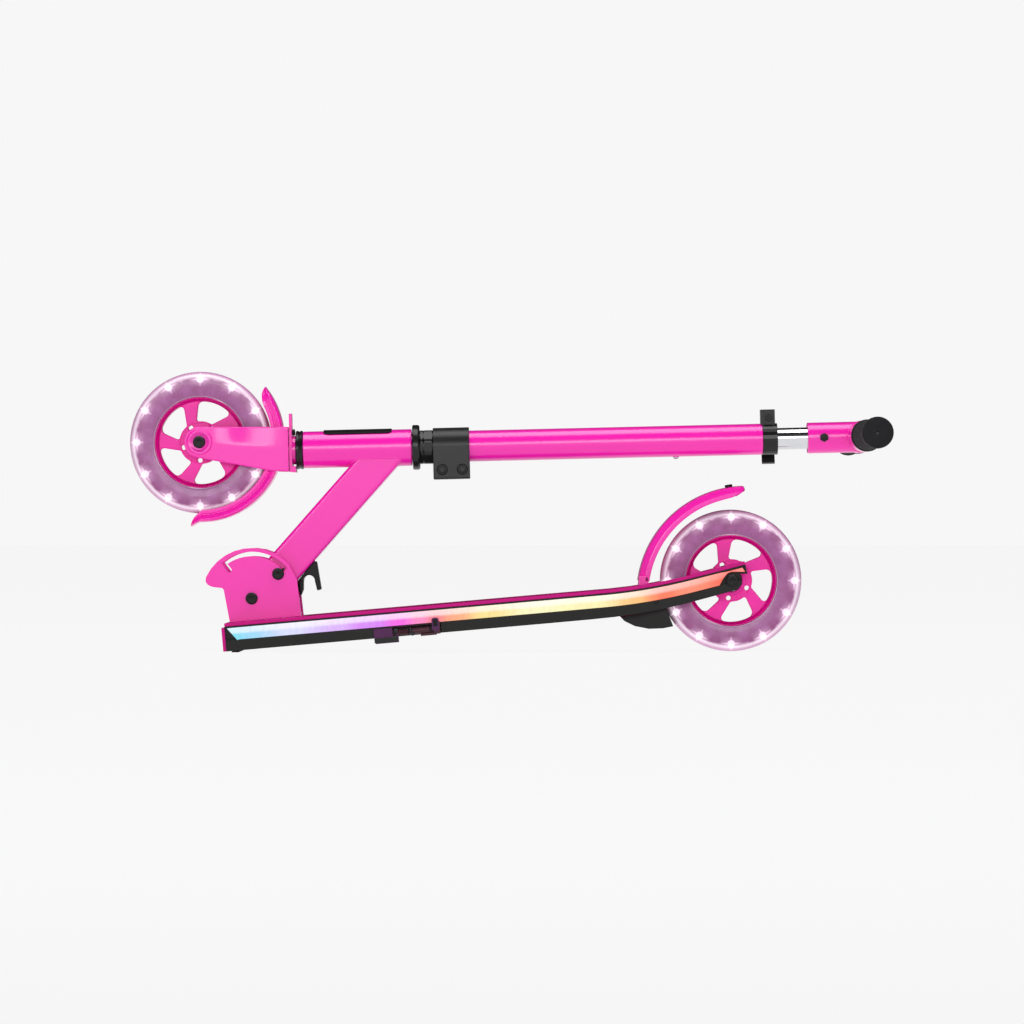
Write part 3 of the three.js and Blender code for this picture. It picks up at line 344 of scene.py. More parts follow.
MATERIALS.update(
    wheel_pink=wheel_plastic(),
    chrome_tube=chrome(),
    grip_tape=grit(),
    grip_foam=foam(),
    light_cover=light_cover(),
    clear_tyre=tyre_skin(),
    # looks that no slot has: plum and brown painted reflections of the light strip's glow on the kickstand, and a
    # black for the badge that also paints shade round the clamp bolts
    lit_plum=finish("plum_painted_reflection", srgb(80, 30, 80), 0.4, grain=1800, depth=0.1, shine=0.2),
    lit_brown=finish("brown_painted_reflection", srgb(70, 36, 46), 0.35, grain=1800, depth=0.1, shine=0.2),
    badge_black=finish("badge_black", srgb(7, 6, 7), 0.5, grain=900, depth=0.1, shine=0.12),
)

# ---------------------------------------------------------------- meshes


def fillet(points, radius, count=5):
    """A closed outline with each corner rounded. A point may carry its own radius as a third number."""
    rounded = []
    for i, point in enumerate(points):
        here, before, after = (Vector(p[:2]) for p in (point, points[i - 1], points[(i + 1) % len(points)]))
        want = point[2] if len(point) > 2 else radius
        back, on = (before - here), (after - here)
        half = back.angle(on, math.pi) / 2
        if want <= 0 or half > math.radians(88):
            rounded.append(here)
            continue
        cut = min(want / math.tan(half), back.length * 0.48, on.length * 0.48)
        start, end = here + back.normalized() * cut, here + on.normalized() * cut
        centre = here + (back.normalized() + on.normalized()).normalized() * cut / math.cos(half)
        from_angle = math.atan2(*(start - centre).yx)
        sweep = (math.atan2(*(end - centre).yx) - from_angle + math.pi) % (2 * math.pi) - math.pi
        size = (start - centre).length
        for k in range(count + 1):
            angle = from_angle + sweep * k / count
            rounded.append(centre + size * Vector((math.cos(angle), math.sin(angle))))
    return [tuple(p) for p in rounded]


def arc(centre, radius, start, end, count):
    """Points of an arc, angles in degrees."""
    angles = [math.radians(start + (end - start) * k / count) for k in range(count + 1)]
    return [(centre[0] + radius * math.cos(a), centre[1] + radius * math.sin(a)) for a in angles]


def circle(centre, radius, count):
    return arc(centre, radius, 0, 360, count)[:-1]


def box(x0, y0, x1, y1):
    """The corners of a rectangle."""
    return [(x0, y0), (x1, y0), (x1, y1), (x0, y1)]


def square_cornered(points):
    """The points, marked so that fillet leaves them as they are."""
    return [(*p, 0) for p in points]


def share(x, start, end):
    """0 up to the start, 1 from the end on, and even between them."""
    return min(1, max(0, (x - start) / (end - start)))


def loft(rings, caps=True, sharp=SHARP):
    """A mesh in metres over closed rings of points in millimetres, smooth except at sharp edges."""
    size = len(rings[0])
    last = (len(rings) - 1) * size
    faces = []
    for first in range(0, last, size):
        for a in range(size):
            b = (a + 1) % size
            faces.append((first + a, first + b, first + b + size, first + a + size))
    if caps:
        faces += [tuple(reversed(range(size))), tuple(range(last, last + size))]
    mesh = bpy.data.meshes.new("piece")
    mesh.from_pydata([Vector(p) * MM for ring in rings for p in ring], [], faces)
    return tidy(mesh, sharp)


def tidy(mesh, sharp=SHARP):
    """Joins doubled points, turns the faces outward and marks the sharp edges."""
    work = bmesh.new()
    work.from_mesh(mesh)
    bmesh.ops.remove_doubles(work, verts=work.verts, dist=1e-7)
    bmesh.ops.recalc_face_normals(work, faces=work.faces)
    work.to_mesh(mesh)
    work.free()
    mesh.shade_smooth()
    mesh.set_sharp_from_angle(angle=math.radians(sharp))
    return mesh


def polygon(angle, radius, sides):
    """How far a polygon's edge is from its centre, where radius is to its corners."""
    half = math.pi / sides
    return radius * math.cos(half) / math.cos(math.fmod(angle, 2 * half) - half)


def spin(profile, segments, sharp=SHARP):
    """A turned piece about Z from (radius, height) points. A third value gives that ring's number of sides,
    and a fourth the radius to the corners of a nut whose ends are chamfered to the first radius."""
    rings = []
    for radius, height, *shape in profile:
        rings.append([])
        for k in range(segments):
            angle = 2 * math.pi * k / segments
            r = polygon(angle, shape[-1] if len(shape) > 1 else radius, shape[0]) if shape else radius
            r = min(r, radius)
            rings[-1].append((r * math.cos(angle), r * math.sin(angle), height))
    return loft(rings, profile[0][:2] != profile[-1][:2], sharp)


def lathe(section, segments=96):
    """A turned ring about Z from the closed outline of its section."""
    return spin(section + section[:1], segments)


def tube(inner, outer, low, high, soft, segments=72):
    """A pipe about Z with rounded ends."""
    section = fillet(box(inner, low, outer, high), soft, 4)
    return lathe(section, segments)


def placed(name, data):
    """A new object in the scene."""
    obj = bpy.data.objects.new(name, data)
    bpy.context.collection.objects.link(obj)
    return obj


def curve_mesh(loops, cyclic, **settings):
    """The mesh of a curve along lists of (x, y, z, swelling)."""
    curve = bpy.data.curves.new("outline", "CURVE")
    for key, value in settings.items():
        setattr(curve, key, value)
    for loop in loops:
        spline = curve.splines.new("POLY")
        spline.points.add(len(loop) - 1)
        for spot, (*point, swelling) in zip(spline.points, loop):
            spot.co = (*point, 1)
            spot.radius = swelling
        spline.use_cyclic_u = cyclic
    maker = placed("outline", curve)
    mesh = bpy.data.meshes.new_from_object(maker.evaluated_get(bpy.context.evaluated_depsgraph_get()))
    bpy.data.objects.remove(maker)
    bpy.data.curves.remove(curve)
    return mesh


def plate(loops, low, high, bevel, steps):
    """A slab about the XY plane, from outlines (the first is the outside), with rounded edges."""
    mesh = curve_mesh([[(x, y, 0, 1) for x, y in loop] for loop in loops], True, dimensions="2D", fill_mode="BOTH",
                      extrude=(high - low) / 2 - bevel, bevel_depth=bevel, offset=-bevel, bevel_resolution=steps)
    mesh.transform(Matrix.Scale(MM, 4) @ Matrix.Translation((0, 0, (low + high) / 2)))
    return tidy(mesh)


def side_plate(loops, low, high, bevel, steps=3):
    """A slab drawn in X and Z, from Y = low to high."""
    mesh = plate([[(x, -z) for x, z in loop] for loop in loops], low, high, bevel, steps)
    mesh.transform(ALONG_Y)
    return mesh


def cross_plate(loops, low, high, bevel, steps=3):
    """A slab drawn in Y and Z, from X = low to high."""
    mesh = plate([[(-z, y) for y, z in loop] for loop in loops], low, high, bevel, steps)
    mesh.transform(ALONG_X)
    return mesh


def wire(path, radius, cyclic=False, ripple=0.0):
    """A round wire, coil or weld bead along a path. Ripple makes it swell and shrink from point to point."""
    points = [(*(Vector(point) * MM), 1 + ripple * math.cos(k * math.pi / 2)) for k, point in enumerate(path)]
    return tidy(curve_mesh([points], cyclic, dimensions="3D", bevel_depth=radius * MM, bevel_resolution=5,
                           use_fill_caps=True), 50)


def coil(start, axis, radius, length, turns):
    """Points of a helix from start along "X" or "Y"."""
    steps = 14
    points = []
    for k in range(int(turns * steps) + 1):
        angle = 2 * math.pi * k / steps
        along = length * k / (turns * steps)
        a, b = radius * math.cos(angle), radius * math.sin(angle)
        offset = (along, a, b) if axis == "X" else (a, along, b)
        points.append(tuple(s + o for s, o in zip(start, offset)))
    return points


def merged(*meshes):
    """Several meshes as one."""
    work = bmesh.new()
    for mesh in meshes:
        work.from_mesh(mesh)
    joined = bpy.data.meshes.new("piece")
    work.to_mesh(joined)
    work.free()
    joined.shade_smooth()
    joined.set_sharp_from_angle(angle=math.radians(SHARP))
    return joined


def moved(mesh, *steps):
    """The mesh after each matrix, or shift in millimetres, in turn."""
    for step in steps:
        mesh.transform(step if isinstance(step, Matrix) else Matrix.Translation(Vector(step) * MM))
    return mesh


def flat_normals(obj):
    """Keeps broad faces flat where they meet rounded edges."""
    weighted = obj.modifiers.new("normals", "WEIGHTED_NORMAL")
    weighted.keep_sharp = True


def outward_pair(make, x, reach, z, first=Matrix()):
    """A piece made twice, to point outward from the left and from the right, as one mesh."""
    return merged(*(moved(make(), first, OUTWARD[side], (x, side * reach, z)) for _, side in SIDES))


def show(name, mesh, body, slot, nodes=(), place=None, sheen=None):
    """A finished piece on its body, in the slot's material or another sheen, standing for these CAD nodes."""
    mesh.name = name
    obj = placed(name, mesh)
    if place is STEERING:
        mesh.transform(place)
    elif place is not None:
        obj.matrix_world = place
    mesh.materials.clear()
    mesh.materials.append(MATERIALS[sheen or slot])
    flat_normals(obj)
    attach(obj, body)
    if nodes:
        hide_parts(*nodes)
    return obj


SLOTS = {part["node"]: part["material_slot"] for part in frame["record"]["subparts"]}


def dress(node, finish_name=None, bevel=0.4):
    """A CAD node whose shape is right: its flat faces merged, its edges rounded, and a finish."""
    obj = frame["nodes"][node]
    obj.data.materials.clear()
    obj.data.materials.append(MATERIALS[finish_name or SLOTS[node]])
    dissolve = obj.modifiers.new("flat_faces", "DECIMATE")
    dissolve.decimate_type = "DISSOLVE"
    dissolve.angle_limit = math.radians(1.5)
    if bevel:
        rounding = obj.modifiers.new("edges", "BEVEL")
        rounding.width = bevel * MM
        rounding.segments = 2
        rounding.limit_method = "ANGLE"
        rounding.angle_limit = math.radians(SHARP)
        rounding.harden_normals = False
    flat_normals(obj)


# ---------------------------------------------------------------- deck


def deck_at(x):
    """Height and slope of the middle line of the deck's side: straight, a wide bend, then straight."""
    slope, rear = math.radians(DECK["slope"]), math.radians(DECK["rear_slope"])
    bend, size = DECK["bend"], DECK["bend_radius"]
    if x <= bend:
        return DECK["front_z"] + (x - DECK["front"]) * math.tan(slope), slope
    height = DECK["front_z"] + (bend - DECK["front"]) * math.tan(slope)
    end = bend + size * (math.sin(rear) - math.sin(slope))
    angle = math.asin(math.sin(slope) + (x - bend) / size) if x < end else rear
    rise = size * (math.cos(slope) - math.cos(angle))
    return height + rise + max(0, x - end) * math.tan(rear), angle


def deck_half_width(x):
    t = share(x, *DECK["taper"])
    return DECK["half"] + (DECK["rear_half"] - DECK["half"]) * t * t * (3 - 2 * t)


def deck_half_height(x):
    t = share(x, DECK["bend"], REAR_AXLE[0])
    return (DECK["height"] + (DECK["rear_height"] - DECK["height"]) * t) / 2


def on_deck(x, out, down, side):
    """A point on the deck's edge section: out from its side face, down from its top face."""
    z, angle = deck_at(x)
    height = deck_half_height(x) - down
    return (x - height * math.sin(angle), side * (deck_half_width(x) + out), z + height * math.cos(angle))


def deck_sweep(section, side, xs, trim):
    """A section of (out, down) points carried along the deck and trimmed, with U along it and V up it."""
    mesh = loft([[trim(on_deck(x, out, down, side), down) for out, down in section] for x in xs])
    layer = mesh.uv_layers.new(name="UVMap")
    low, high = max(d for _, d in section), min(d for _, d in section)
    for loop in mesh.loops:
        x, _, z = mesh.vertices[loop.vertex_index].co / MM
        along = share(x, xs[0], xs[-1])
        base, angle = deck_at(x)
        down = deck_half_height(x) - (z - base) * math.cos(angle)
        layer.data[loop.index].uv = (along, (low - down) / (low - high))
    return mesh


def light_strips():
    top, bottom, boss = 5.1, 17.3, 9.2
    section = fillet([(-3, bottom), (0.4, bottom), (0.9, (top + bottom) / 2, 0), (0.4, top), (-3, top)], 0.5, 3)
    stations = [DECK["front"] + 1 + (243.4 - DECK["front"]) * k / 120 for k in range(121)]

    def trim(point, down):
        """The front end is mitred, and the strip runs out in a point over the axle's boss."""
        x, y, z = point
        x = max(x, -280 + 11 * (down - top) / (bottom - top))
        over = x - REAR_AXLE[0]
        if over > -boss:
            z = min(max(z, REAR_AXLE[1] + math.sqrt(boss**2 - min(over, 0) ** 2)), on_deck(x, 0, top, 1)[2])
        return x, y, z

    for name, side in SIDES:
        mesh = deck_sweep(section, side, stations, trim)
        show(f"{name}_light_cover", mesh, "deck", "light_cover", [f"{name}_light_strip"])


def grip_sheet():
    """The abrasive sheet, cut in 5 mm from the deck's edges, with its upper edges rounded."""
    xs = [-198 + 322 * k / 40 for k in range(41)]
    rings = []
    for x in xs:
        half = deck_half_width(x) - 5
        z, angle = deck_at(x)
        high, low = deck_half_height(x) - 1.4, deck_half_height(x) - 1.9
        section = ((-half, low), (half, low), (half, high - 0.25), (half - 0.4, high), (-half + 0.4, high),
                   (-half, high - 0.25))
        rings.append([(x - height * math.sin(angle), y, z + height * math.cos(angle)) for y, height in section])
    show("grip_sheet", loft(rings), "deck", "grip_tape", ["grip_tape"])


def bolt_head(radius, height, socket=0.0, dome=0.3, hexed=False):
    """A bolt's head that stands on the XY plane: round or six-sided, with or without a hexagon socket."""
    shape = (6,) if hexed else ()
    sides = [(radius * 0.9, 0, *shape), (radius, height * 0.1, *shape), (radius, height * (1 - dome), *shape),
             (radius * 0.88, height * 0.97), (radius * 0.7, height)]
    if not socket:
        return spin([(0.01, 0), *sides, (0.01, height)], 48)
    return spin([(0.01, 0), *sides, (socket * 1.05, height), (socket, height - 0.2, 6),
                 (socket, height * 0.4, 6), (0.01, height * 0.35)], 48)


def rod(radius, low, high=0.2, segments=48):
    """A bolt's shank, up to just inside a head that stands on the XY plane."""
    return spin([(radius, low), (radius, high), (0.01, high)], segments)


def axle_end(length):
    """Half an axle with its socket head."""
    return merged(rod(4, -length), bolt_head(6.2, 3, 2.9))


def fold_and_axle_bolts():
    pivot = outward_pair(lambda: merged(rod(5, -27), bolt_head(6.1, 3, 3)), PIVOT[0], 25.3, PIVOT[1])
    show("fold_pivot", pivot, "deck", "dark_steel", ["fold_pivot_bolt"])
    axle = outward_pair(lambda: axle_end(40), REAR_AXLE[0], 32.2, REAR_AXLE[1])
    show("rear_axle_bolt", axle, "deck", "dark_steel", ["rear_axle"])


def pocket_shade_sheet():
    """A black sheet behind the kickstand's recess: painted shade for the recess."""
    low = deck_at(KICK[0])[0] - 14
    outline = [(KICK[0] + along, low + along * DECK_TILT + up) for along, up in box(-14.5, -0.4, 56.5, 9)]
    show("pocket_shade_sheet", side_plate([outline], -44.85, -44.65, 0.05, 1), "deck", "black_plastic")


def deck_pieces():
    for node, bevel in (("deck_platform", 0.5), ("left_side_trim", 0.5), ("right_side_trim", 0.5),
                        ("front_end_plate", 0.7), ("deck_foot", 0.4), ("fold_bracket", 0.6), ("battery_box", 1.0),
                        ("battery_pack", 0.2), ("power_button", 0.3), ("brake_pivot_pin", 0.2)):
        dress(node, bevel=bevel)
    # the bracket gets a plum painted reflection of the light strip's glow
    dress("kickstand_bracket", "lit_plum", 0.3)
    # the painted shade in the kickstand's recess
    pocket_shade_sheet()
    light_strips()
    grip_sheet()
    fold_and_axle_bolts()


# ---------------------------------------------------------------- kickstand and brake


def kickstand():
    # the leg gets a brown painted reflection of the light strip's glow
    dress("kickstand_leg", "lit_brown", 0.3)
    x, z = KICK
    level = Matrix.Translation((x * MM, 0, z * MM)) @ Matrix.Rotation(-DECK_TILT, 4, "Y")
    path = coil((12, -50.3, 0.7), "X", 2.7, 10, 7)
    path = [(11.4, -50.3, -1), (11.4, -50.3, 3.2)] + path + [(22.3, -50.3, 3.2), (22.3, -50.3, -0.8)]
    # the coil gets the brown painted reflection of the light strip's glow
    show("kickstand_coil", wire(path, 0.62), "deck", SLOTS["kickstand_spring"], ["kickstand_spring"], level,
         sheen="lit_brown")
    lip = side_plate([fillet(box(-12, -8.5, 11.8, -3.4), 0.8)], -52.6, -51.6, 0.15)
    nut = moved(merged(tube(1, 2.7, -2.6, 1.6, 0.5, 24), spin(bead(2.2, 2.2, 3.4), 24)),
                OUTWARD[-1], (10.4, -50.4, 2.6))
    show("kickstand_lip", merged(lip, nut), "deck", "black_metal", (), level)
    collar = moved(spin(bead(3.9, -1.5, 1.5), 32), ALONG_X, (25.2, -50.2, 1.2))
    lug = moved(spin(bead(1.9, -2.5, 2.2), 24), ALONG_Y, (27, -50.6, -2))
    show("kickstand_collar", merged(collar, lug), "kickstand", "black_metal", (), level)
    outline = fillet(box(47.1, -1, 54.4, 12.3), 2.4)
    hole = fillet(box(48.6, 3.6, 52.9, 10.9), 1.4)
    strap = side_plate([outline, hole], -55.1, -54.5, 0.2)
    # the strap gets the plum painted reflection of the light strip's glow
    show("kickstand_strap", strap, "kickstand", SLOTS["kickstand_leg"], (), level, sheen="lit_plum")
    show("kickstand_pad", side_plate([hole], -54.95, -54.7, 0.05), "kickstand", "black_rubber", (), level)


def bead(radius, low, high):
    """A short turned piece with rounded ends, as a profile."""
    return fillet([(0.01, low, 0), (radius, low), (radius, high), (0.01, high, 0)], min(1, (high - low) / 3))


def brake_spring():
    x, z = BRAKE_PIVOT
    path = coil((x, -8.2, z), "Y", 3.1, 16.4, 12)
    path = [(x - 12, -8.2, z - 0.5)] + path + [(x - 12, 8.2, z - 0.5)]
    show("brake_coil", wire(path, 0.6), "deck", "bare_steel", ["brake_spring"])


def channel(depth, inner, outer, wall):
    """A fender's section as (inset, y): a crowned skin, and flanges whose outer faces follow the wall's points."""
    skin = [(0.5 * (y / 9) ** 2, y) for y in range(-9, 10, 3)]
    flange = [(0.6, 9.3, 0), *((inset, outer - back) for inset, back in wall), (depth, outer - wall[-1][1]),
              (depth, inner), (5, inner, 2), (2, inner - 3, 1), (2, 9.3, 0)]
    right = fillet(flange, 0.7, 3)[1:-1]
    return skin + right + [(inset, -y) for inset, y in reversed(right)]


def fender(centre, radius, section, stations, slant=0.0):
    """A channel bent round a centre. Stations are (angle, depth factor, width factor, outward shift)."""
    rings = []
    depth = max(inset for inset, _ in section)
    for angle, deep, wide, out in stations:
        rings.append([])
        fade = max(0, 1 - (angle - stations[0][0]) / 7) if slant else 0
        for inset, y in section:
            least = min(inset, 2 + inset / 20)
            r = radius + out - max(least, inset * deep)
            lean = slant * max(0, inset - 4.5) ** 2 / (depth - 4.5) ** 2 - 0.8 * min(1, inset / 4.5)
            lean = fade * (lean + 1.5 * (y / 17) ** 4) if slant else 0
            turn = math.radians(angle + lean)
            rings[-1].append((centre[0] + r * math.cos(turn), y * wide, centre[1] + r * math.sin(turn)))
    return loft(rings)


def rear_brake():
    centre, radius, tip = (247.5, 57.5), 112, 90.8

    def near_tip(angle, span):
        """1 at the fender's tip, and 0 from this many degrees on."""
        return max(0, 1 - (angle - tip) / span)

    angles = [tip + 81.2 * (k / 80) ** 1.15 for k in range(81)]
    stations = [(angle, 1 - 0.2 * near_tip(angle, 14) ** 1.5, 1 - 0.12 * near_tip(angle, 3) ** 2,
                 -0.9 * near_tip(angle, 1.6) ** 2) for angle in angles]
    arch = fender(centre, radius, channel(12, 14.5, 17, REAR_WALL), stations, 5)
    x, z = BRAKE_PIVOT
    arm = fillet([(138, 77, 0), (147.4, 77, 0), (147.8, 67, 3), (x + 6, z + 1, 4), (x + 2, z - 5.6, 5),
                  (x - 7, z - 3, 5), (137.8, 66, 3)], 3)
    hole = circle((x, z), 2.2, 20)
    arms = [side_plate([arm, hole], *sorted((side * 14.5, side * 17)), 0.4) for _, side in SIDES]
    show("rear_fender_arch", merged(arch, *arms), "rear_brake", "frame_pink", ["rear_fender"])
    dress("brake_pad", bevel=0.8)
    angle = 98.8
    seat = arc(centre, radius, angle, angle, 1)[0]
    bolt = merged(bolt_head(4, 2.5, 1.9, dome=0.5), rod(2, -10, 0.5, 32))
    bolt = moved(bolt, Matrix.Rotation(math.radians(90 - angle), 4, "Y"), (seat[0], 0, seat[1]))
    show("pad_bolt_head", bolt, "rear_brake", "dark_steel", ["brake_pad_bolt"])


# ---------------------------------------------------------------- wheels


def wheel_window(direction):
    """The opening between the spoke in this direction and the next one. The spokes pass beside the axle and widen
    outward, so a corner is found from its distance along the spoke's middle line and across it."""
    spoke, following = math.radians(direction), math.radians(direction) + math.radians(360 / SPOKES)
    beside, hub_half, rim_half = 9.5, 5.3, 7.3
    angles = []
    for turn, along, across in ((spoke, 17.5, beside + hub_half), (spoke, 36.6, beside + rim_half),
                                (following, 41.6, beside - rim_half), (following, 20.6, beside - hub_half)):
        x, y = (along * Vector((math.cos(turn), math.sin(turn)))
                + across * Vector((-math.sin(turn), math.cos(turn))))
        angles.append(math.degrees(math.atan2(y, x)))
    hub_last, first, last, hub_first = angles
    last += 360 if last < first else 0
    hub_first += 360 if hub_first < hub_last else 0
    outline = []
    for radius, start, end, kept, corner in ((42.6, first, last, (0, 3, 4, 5, 6, 7, 10), 5.5),
                                             (22, hub_first, hub_last, (0, 4, 6, 10), 2.5)):
        bend = [arc((0, 0), radius, start, end, 10)[k] for k in kept]
        outline += [(*bend[0], corner), *square_cornered(bend[1:-1]), (*bend[-1], corner)]
    return fillet(outline, 0, 6)


def wheel(prefix, body, place, turn):
    """A wheel about its own Y axis, its spokes turned by some degrees."""
    half = [(RIM + 0.3, 10.4), (50, 11.2), (58, 12), (66, 11.6), (67.6, 11.1), (68.4, 10.7), (70.6, 8.6),
            (72, 5.4), (WHEEL, 2.0)]
    profile = [(r, -y) for r, y in half] + [(WHEEL, 0)] + half[::-1]
    profile += [(RIM + 0.3, 10.4), (RIM + 0.3, -10.4)]
    tyre = moved(spin(profile, 144), ALONG_Y)
    show(f"{prefix}_tyre_skin", tyre, body, "clear_tyre", [f"{prefix}_tyre", f"{prefix}_led_ring"], place)

    face = fillet([(42.4, 0, 0), (42.4, 5.2), (45.4, 10.5), (RIM, 10.5), (RIM, 0, 0)], 0.5, 3)
    face = face[:-1] + [(r, -y) for r, y in reversed(face[1:])]
    rim = moved(lathe(face, 128), ALONG_Y)
    windows = [wheel_window(360 / SPOKES * k + 90) for k in range(SPOKES)]
    holes = [circle((18.2 * math.cos(a), 18.2 * math.sin(a)), 2.5, 20)
             for a in (math.radians(360 / SPOKES * k + 124) for k in range(SPOKES))]
    bore = circle((0, 0), 11.2, 40)
    disc = side_plate([circle((0, 0), 44, 120), bore, *windows, *holes], -4.5, 4.5, 1.2, 4)
    disc = moved(disc, Matrix.Rotation(math.radians(90 - turn), 4, "Y"))
    boss = moved(tube(11.2, 15, -11.3, 11.3, 1.0, 64), ALONG_Y)
    collar = moved(tube(20.4, 21.8, -5, 5, 0.4, 96), ALONG_Y)
    core = merged(rim, disc, boss, collar)
    show(f"{prefix}_core_moulding", core, body, "wheel_pink", [f"{prefix}_wheel_core"], place)
    for name, side in SIDES:
        near, far = sorted((side * 4.4, side * 11.2))
        race = moved(merged(tube(9.4, 11, near, far, 0.3), tube(4.3, 6.2, near, far, 0.3),
                            tube(6, 9.6, near + 0.5, far - 0.5, 0.2)), ALONG_Y)
        show(f"{prefix}_race_{name}", race, body, "bare_steel", [f"{prefix}_bearing_{name}"], place)


# ---------------------------------------------------------------- neck, lock and steering


def neck_point(along, across, y):
    """A point from the fold pivot, along the neck and across it."""
    a = math.radians(NECK_ANGLE)
    return (PIVOT[0] + along * math.cos(a) - across * math.sin(a), y,
            PIVOT[1] + along * math.sin(a) + across * math.cos(a))


def neck():
    low, high, half = -3.7 - 18.4, -3.7 + 18.4, 15
    corners = fillet(box(low, -half, high, half), 3.4, 6)
    section = []
    for k, point in enumerate(corners):
        step = Vector(corners[(k + 1) % len(corners)]) - Vector(point)
        count = max(1, round(step.length / 2))
        section += [tuple(Vector(point) + step * i / count) for i in range(count)]
    start = [neck_point(0, across, y) for across, y in section]
    beam = loft([start, [tube_entry(across, y, 17.6) for across, y in section]])
    x, z = PIVOT
    knuckle = moved(tube(5.2, 18.3, -15, 15, 1.2, 64), ALONG_Y, (x, 0, z))
    bush = moved(tube(5.2, 9, -21.6, 21.6, 0.6, 48), ALONG_Y, (x, 0, z))
    head = moved(tube(16, 18.8, -205.3, -94.2, 0.9, 96), ALONG_X, STEERING)
    show("neck_weldment", merged(beam, knuckle, bush, head), "neck", "frame_pink", ["neck_frame"])
    seam = [tube_entry(across, y, 18.2) for across, y in section]
    show("neck_weld", wire(seam, 1.0, True, 0.06), "neck", "frame_pink")


def tube_entry(across, y, radius):
    """Where a line along the neck enters the head tube at this radius."""
    tilt = math.radians(TILT)
    x, _, z = neck_point(0, across, y)
    height = (z - AXIS_HEIGHT) * math.cos(tilt) - x * math.sin(tilt)
    return neck_point((-math.sqrt(radius**2 - y**2) - height) / math.sin(math.radians(NECK_ANGLE) - tilt), across, y)


def headset():
    for name, low, high in (("adjusting", -85.7, -82.4), ("lock", -82, -72.8)):
        chamfer = min(1.4, (high - low) / 3)
        cone = ((17.2, 0), (17.7, chamfer * 0.4), (18.1, chamfer))
        ring = [(14.3, low), *((r, low + rise, 8, 18.5) for r, rise in cone),
                *((r, high - rise, 8, 18.5) for r, rise in reversed(cone)), (14.3, high), (14.3, low)]
        turn = Matrix.Rotation(math.radians(22.5), 4, "Z")
        mesh = moved(spin(ring, 96, 25), turn, ALONG_X)
        show(f"headset_{name}_ring", mesh, "steering", "black_metal", [f"headset_{name}_nut"], STEERING)
    # a black sleeve under the nuts, seen only in the thin gap between them: painted shade for that gap
    sleeve = moved(tube(14.1, 16.6, -85.9, -72.5, 0.1), ALONG_X)
    show("headset_gap_shade_sleeve", sleeve, "steering", "black_metal", (), STEERING)
    lower = fillet([(14.4, -212.6), (19.0, -212.6), (19.9, -211.6), (19.5, -210), (18.9, -209), (19.5, -207.8),
                    (19.9, -206.6), (19.2, -205.6), (14.4, -205.6)], 0.35, 3)
    upper = fillet([(14.4, -93.4), (22.2, -93.4), (23, -92.5), (23, -87.7), (22, -86.2), (16, -86), (14.4, -86)],
                   0.4, 3)
    for name, section in (("lower", lower), ("upper", upper)):
        mesh = moved(lathe(section), ALONG_X)
        show(f"headset_{name}_shell", mesh, "neck", "black_metal", [f"headset_{name}_cup"], STEERING)
    badge()


def badge():
    """A plain black plate that hugs the top of the head tube."""
    start, length, corner, count = -184, 69.5, 5, 24
    stations = [start + length * k / 28 for k in range(29)]
    rings = []
    for u in stations:
        inset = 1 - max(0, (corner - (u - start)) / corner, (corner - (start + length - u)) / corner)
        spread = 33 + 6 * math.sqrt(max(0, inset))
        across = arc((0, 0), 19.9, 90 - spread, 90 + spread, count)
        across += reversed(arc((0, 0), 19.15, 90 - spread, 90 + spread, count))
        rings.append([(u, y, v) for y, v in across])
    show("badge_plate", loft(rings), "neck", "black_metal", ["head_badge"], STEERING, sheen="badge_black")


def lock():
    hook = fillet([(-210, 72.9, 0.6), (-194.5, 91.9, 1.4), (-191.8, 92.2, 1.4), (-186.9, 63.2, 1.2),
                   (-190.8, 62.2, 1.2), (-193.4, 72, 0)], 1, 4)
    gap = arc((-199.2, 72), 6, 0, 180, 18)
    tail = [(-205.3, 63, 2), (-208.2, 55.6, 0.6)]
    outline = [p[:2] for p in hook[:-1]] + gap + fillet([(-205.2, 72), *tail, (-210, 72.9)], 0.5, 3)[1:-1]
    lever = side_plate([outline], -10.5, 10.5, 1.0, 4)
    link = side_plate([[(-231, 76), (-208.6, 60), (-207.6, 69.6), (-228.6, 82.4)]], -3, 3, 0.4)
    angle = math.radians(LOCK_ANGLE)
    x, z = PIVOT[0] + LOCK_RADIUS * math.cos(angle), PIVOT[1] + LOCK_RADIUS * math.sin(angle)
    shank = moved(spin([(0.01, -21.7), (2, -21.5), (2, 21.5), (0.01, 21.7)], 32), ALONG_Y, (x, 0, z))
    show("release_hook", merged(lever, link, shank), "lock_release", "black_plastic", ["release_lever"])
    for name, side in SIDES:
        head = moved(bolt_head(6, 3, 2.4), OUTWARD[side], (0, side * 25.3, 0))
        near, far = sorted((side * 25.3, side * 26.9))
        tooth = side_plate([fillet(box(3, -1.1, 8.6, 1.1), 0.3)], near, far, 0.2)
        mesh = moved(merged(head, tooth), Matrix.Rotation(-angle, 4, "Y"), (x, 0, z))
        show(f"lock_head_{name}", mesh, "lock_release", "dark_steel", [f"lock_pin_{name}_head"])


def leg_edges(u):
    """The top and bottom edge of a fork leg at this place along it."""
    axle_u, axle_v = FRONT_AXLE
    round_end = math.sqrt(max(0, FORK_END**2 - (u - axle_u) ** 2))
    top = axle_v + round_end if u < axle_u else axle_v + FORK_END - 2.2 * (u - axle_u) / (CROWN - axle_u)
    bottoms = ((-312.4, -5.65), (-238, -20.8), (CROWN, -22))
    if u < bottoms[0][0]:
        return top, axle_v - round_end
    (u0, v0), (u1, v1) = bottoms[:2] if u < bottoms[1][0] else bottoms[1:]
    return top, v0 + (v1 - v0) * (u - u0) / (u1 - u0)


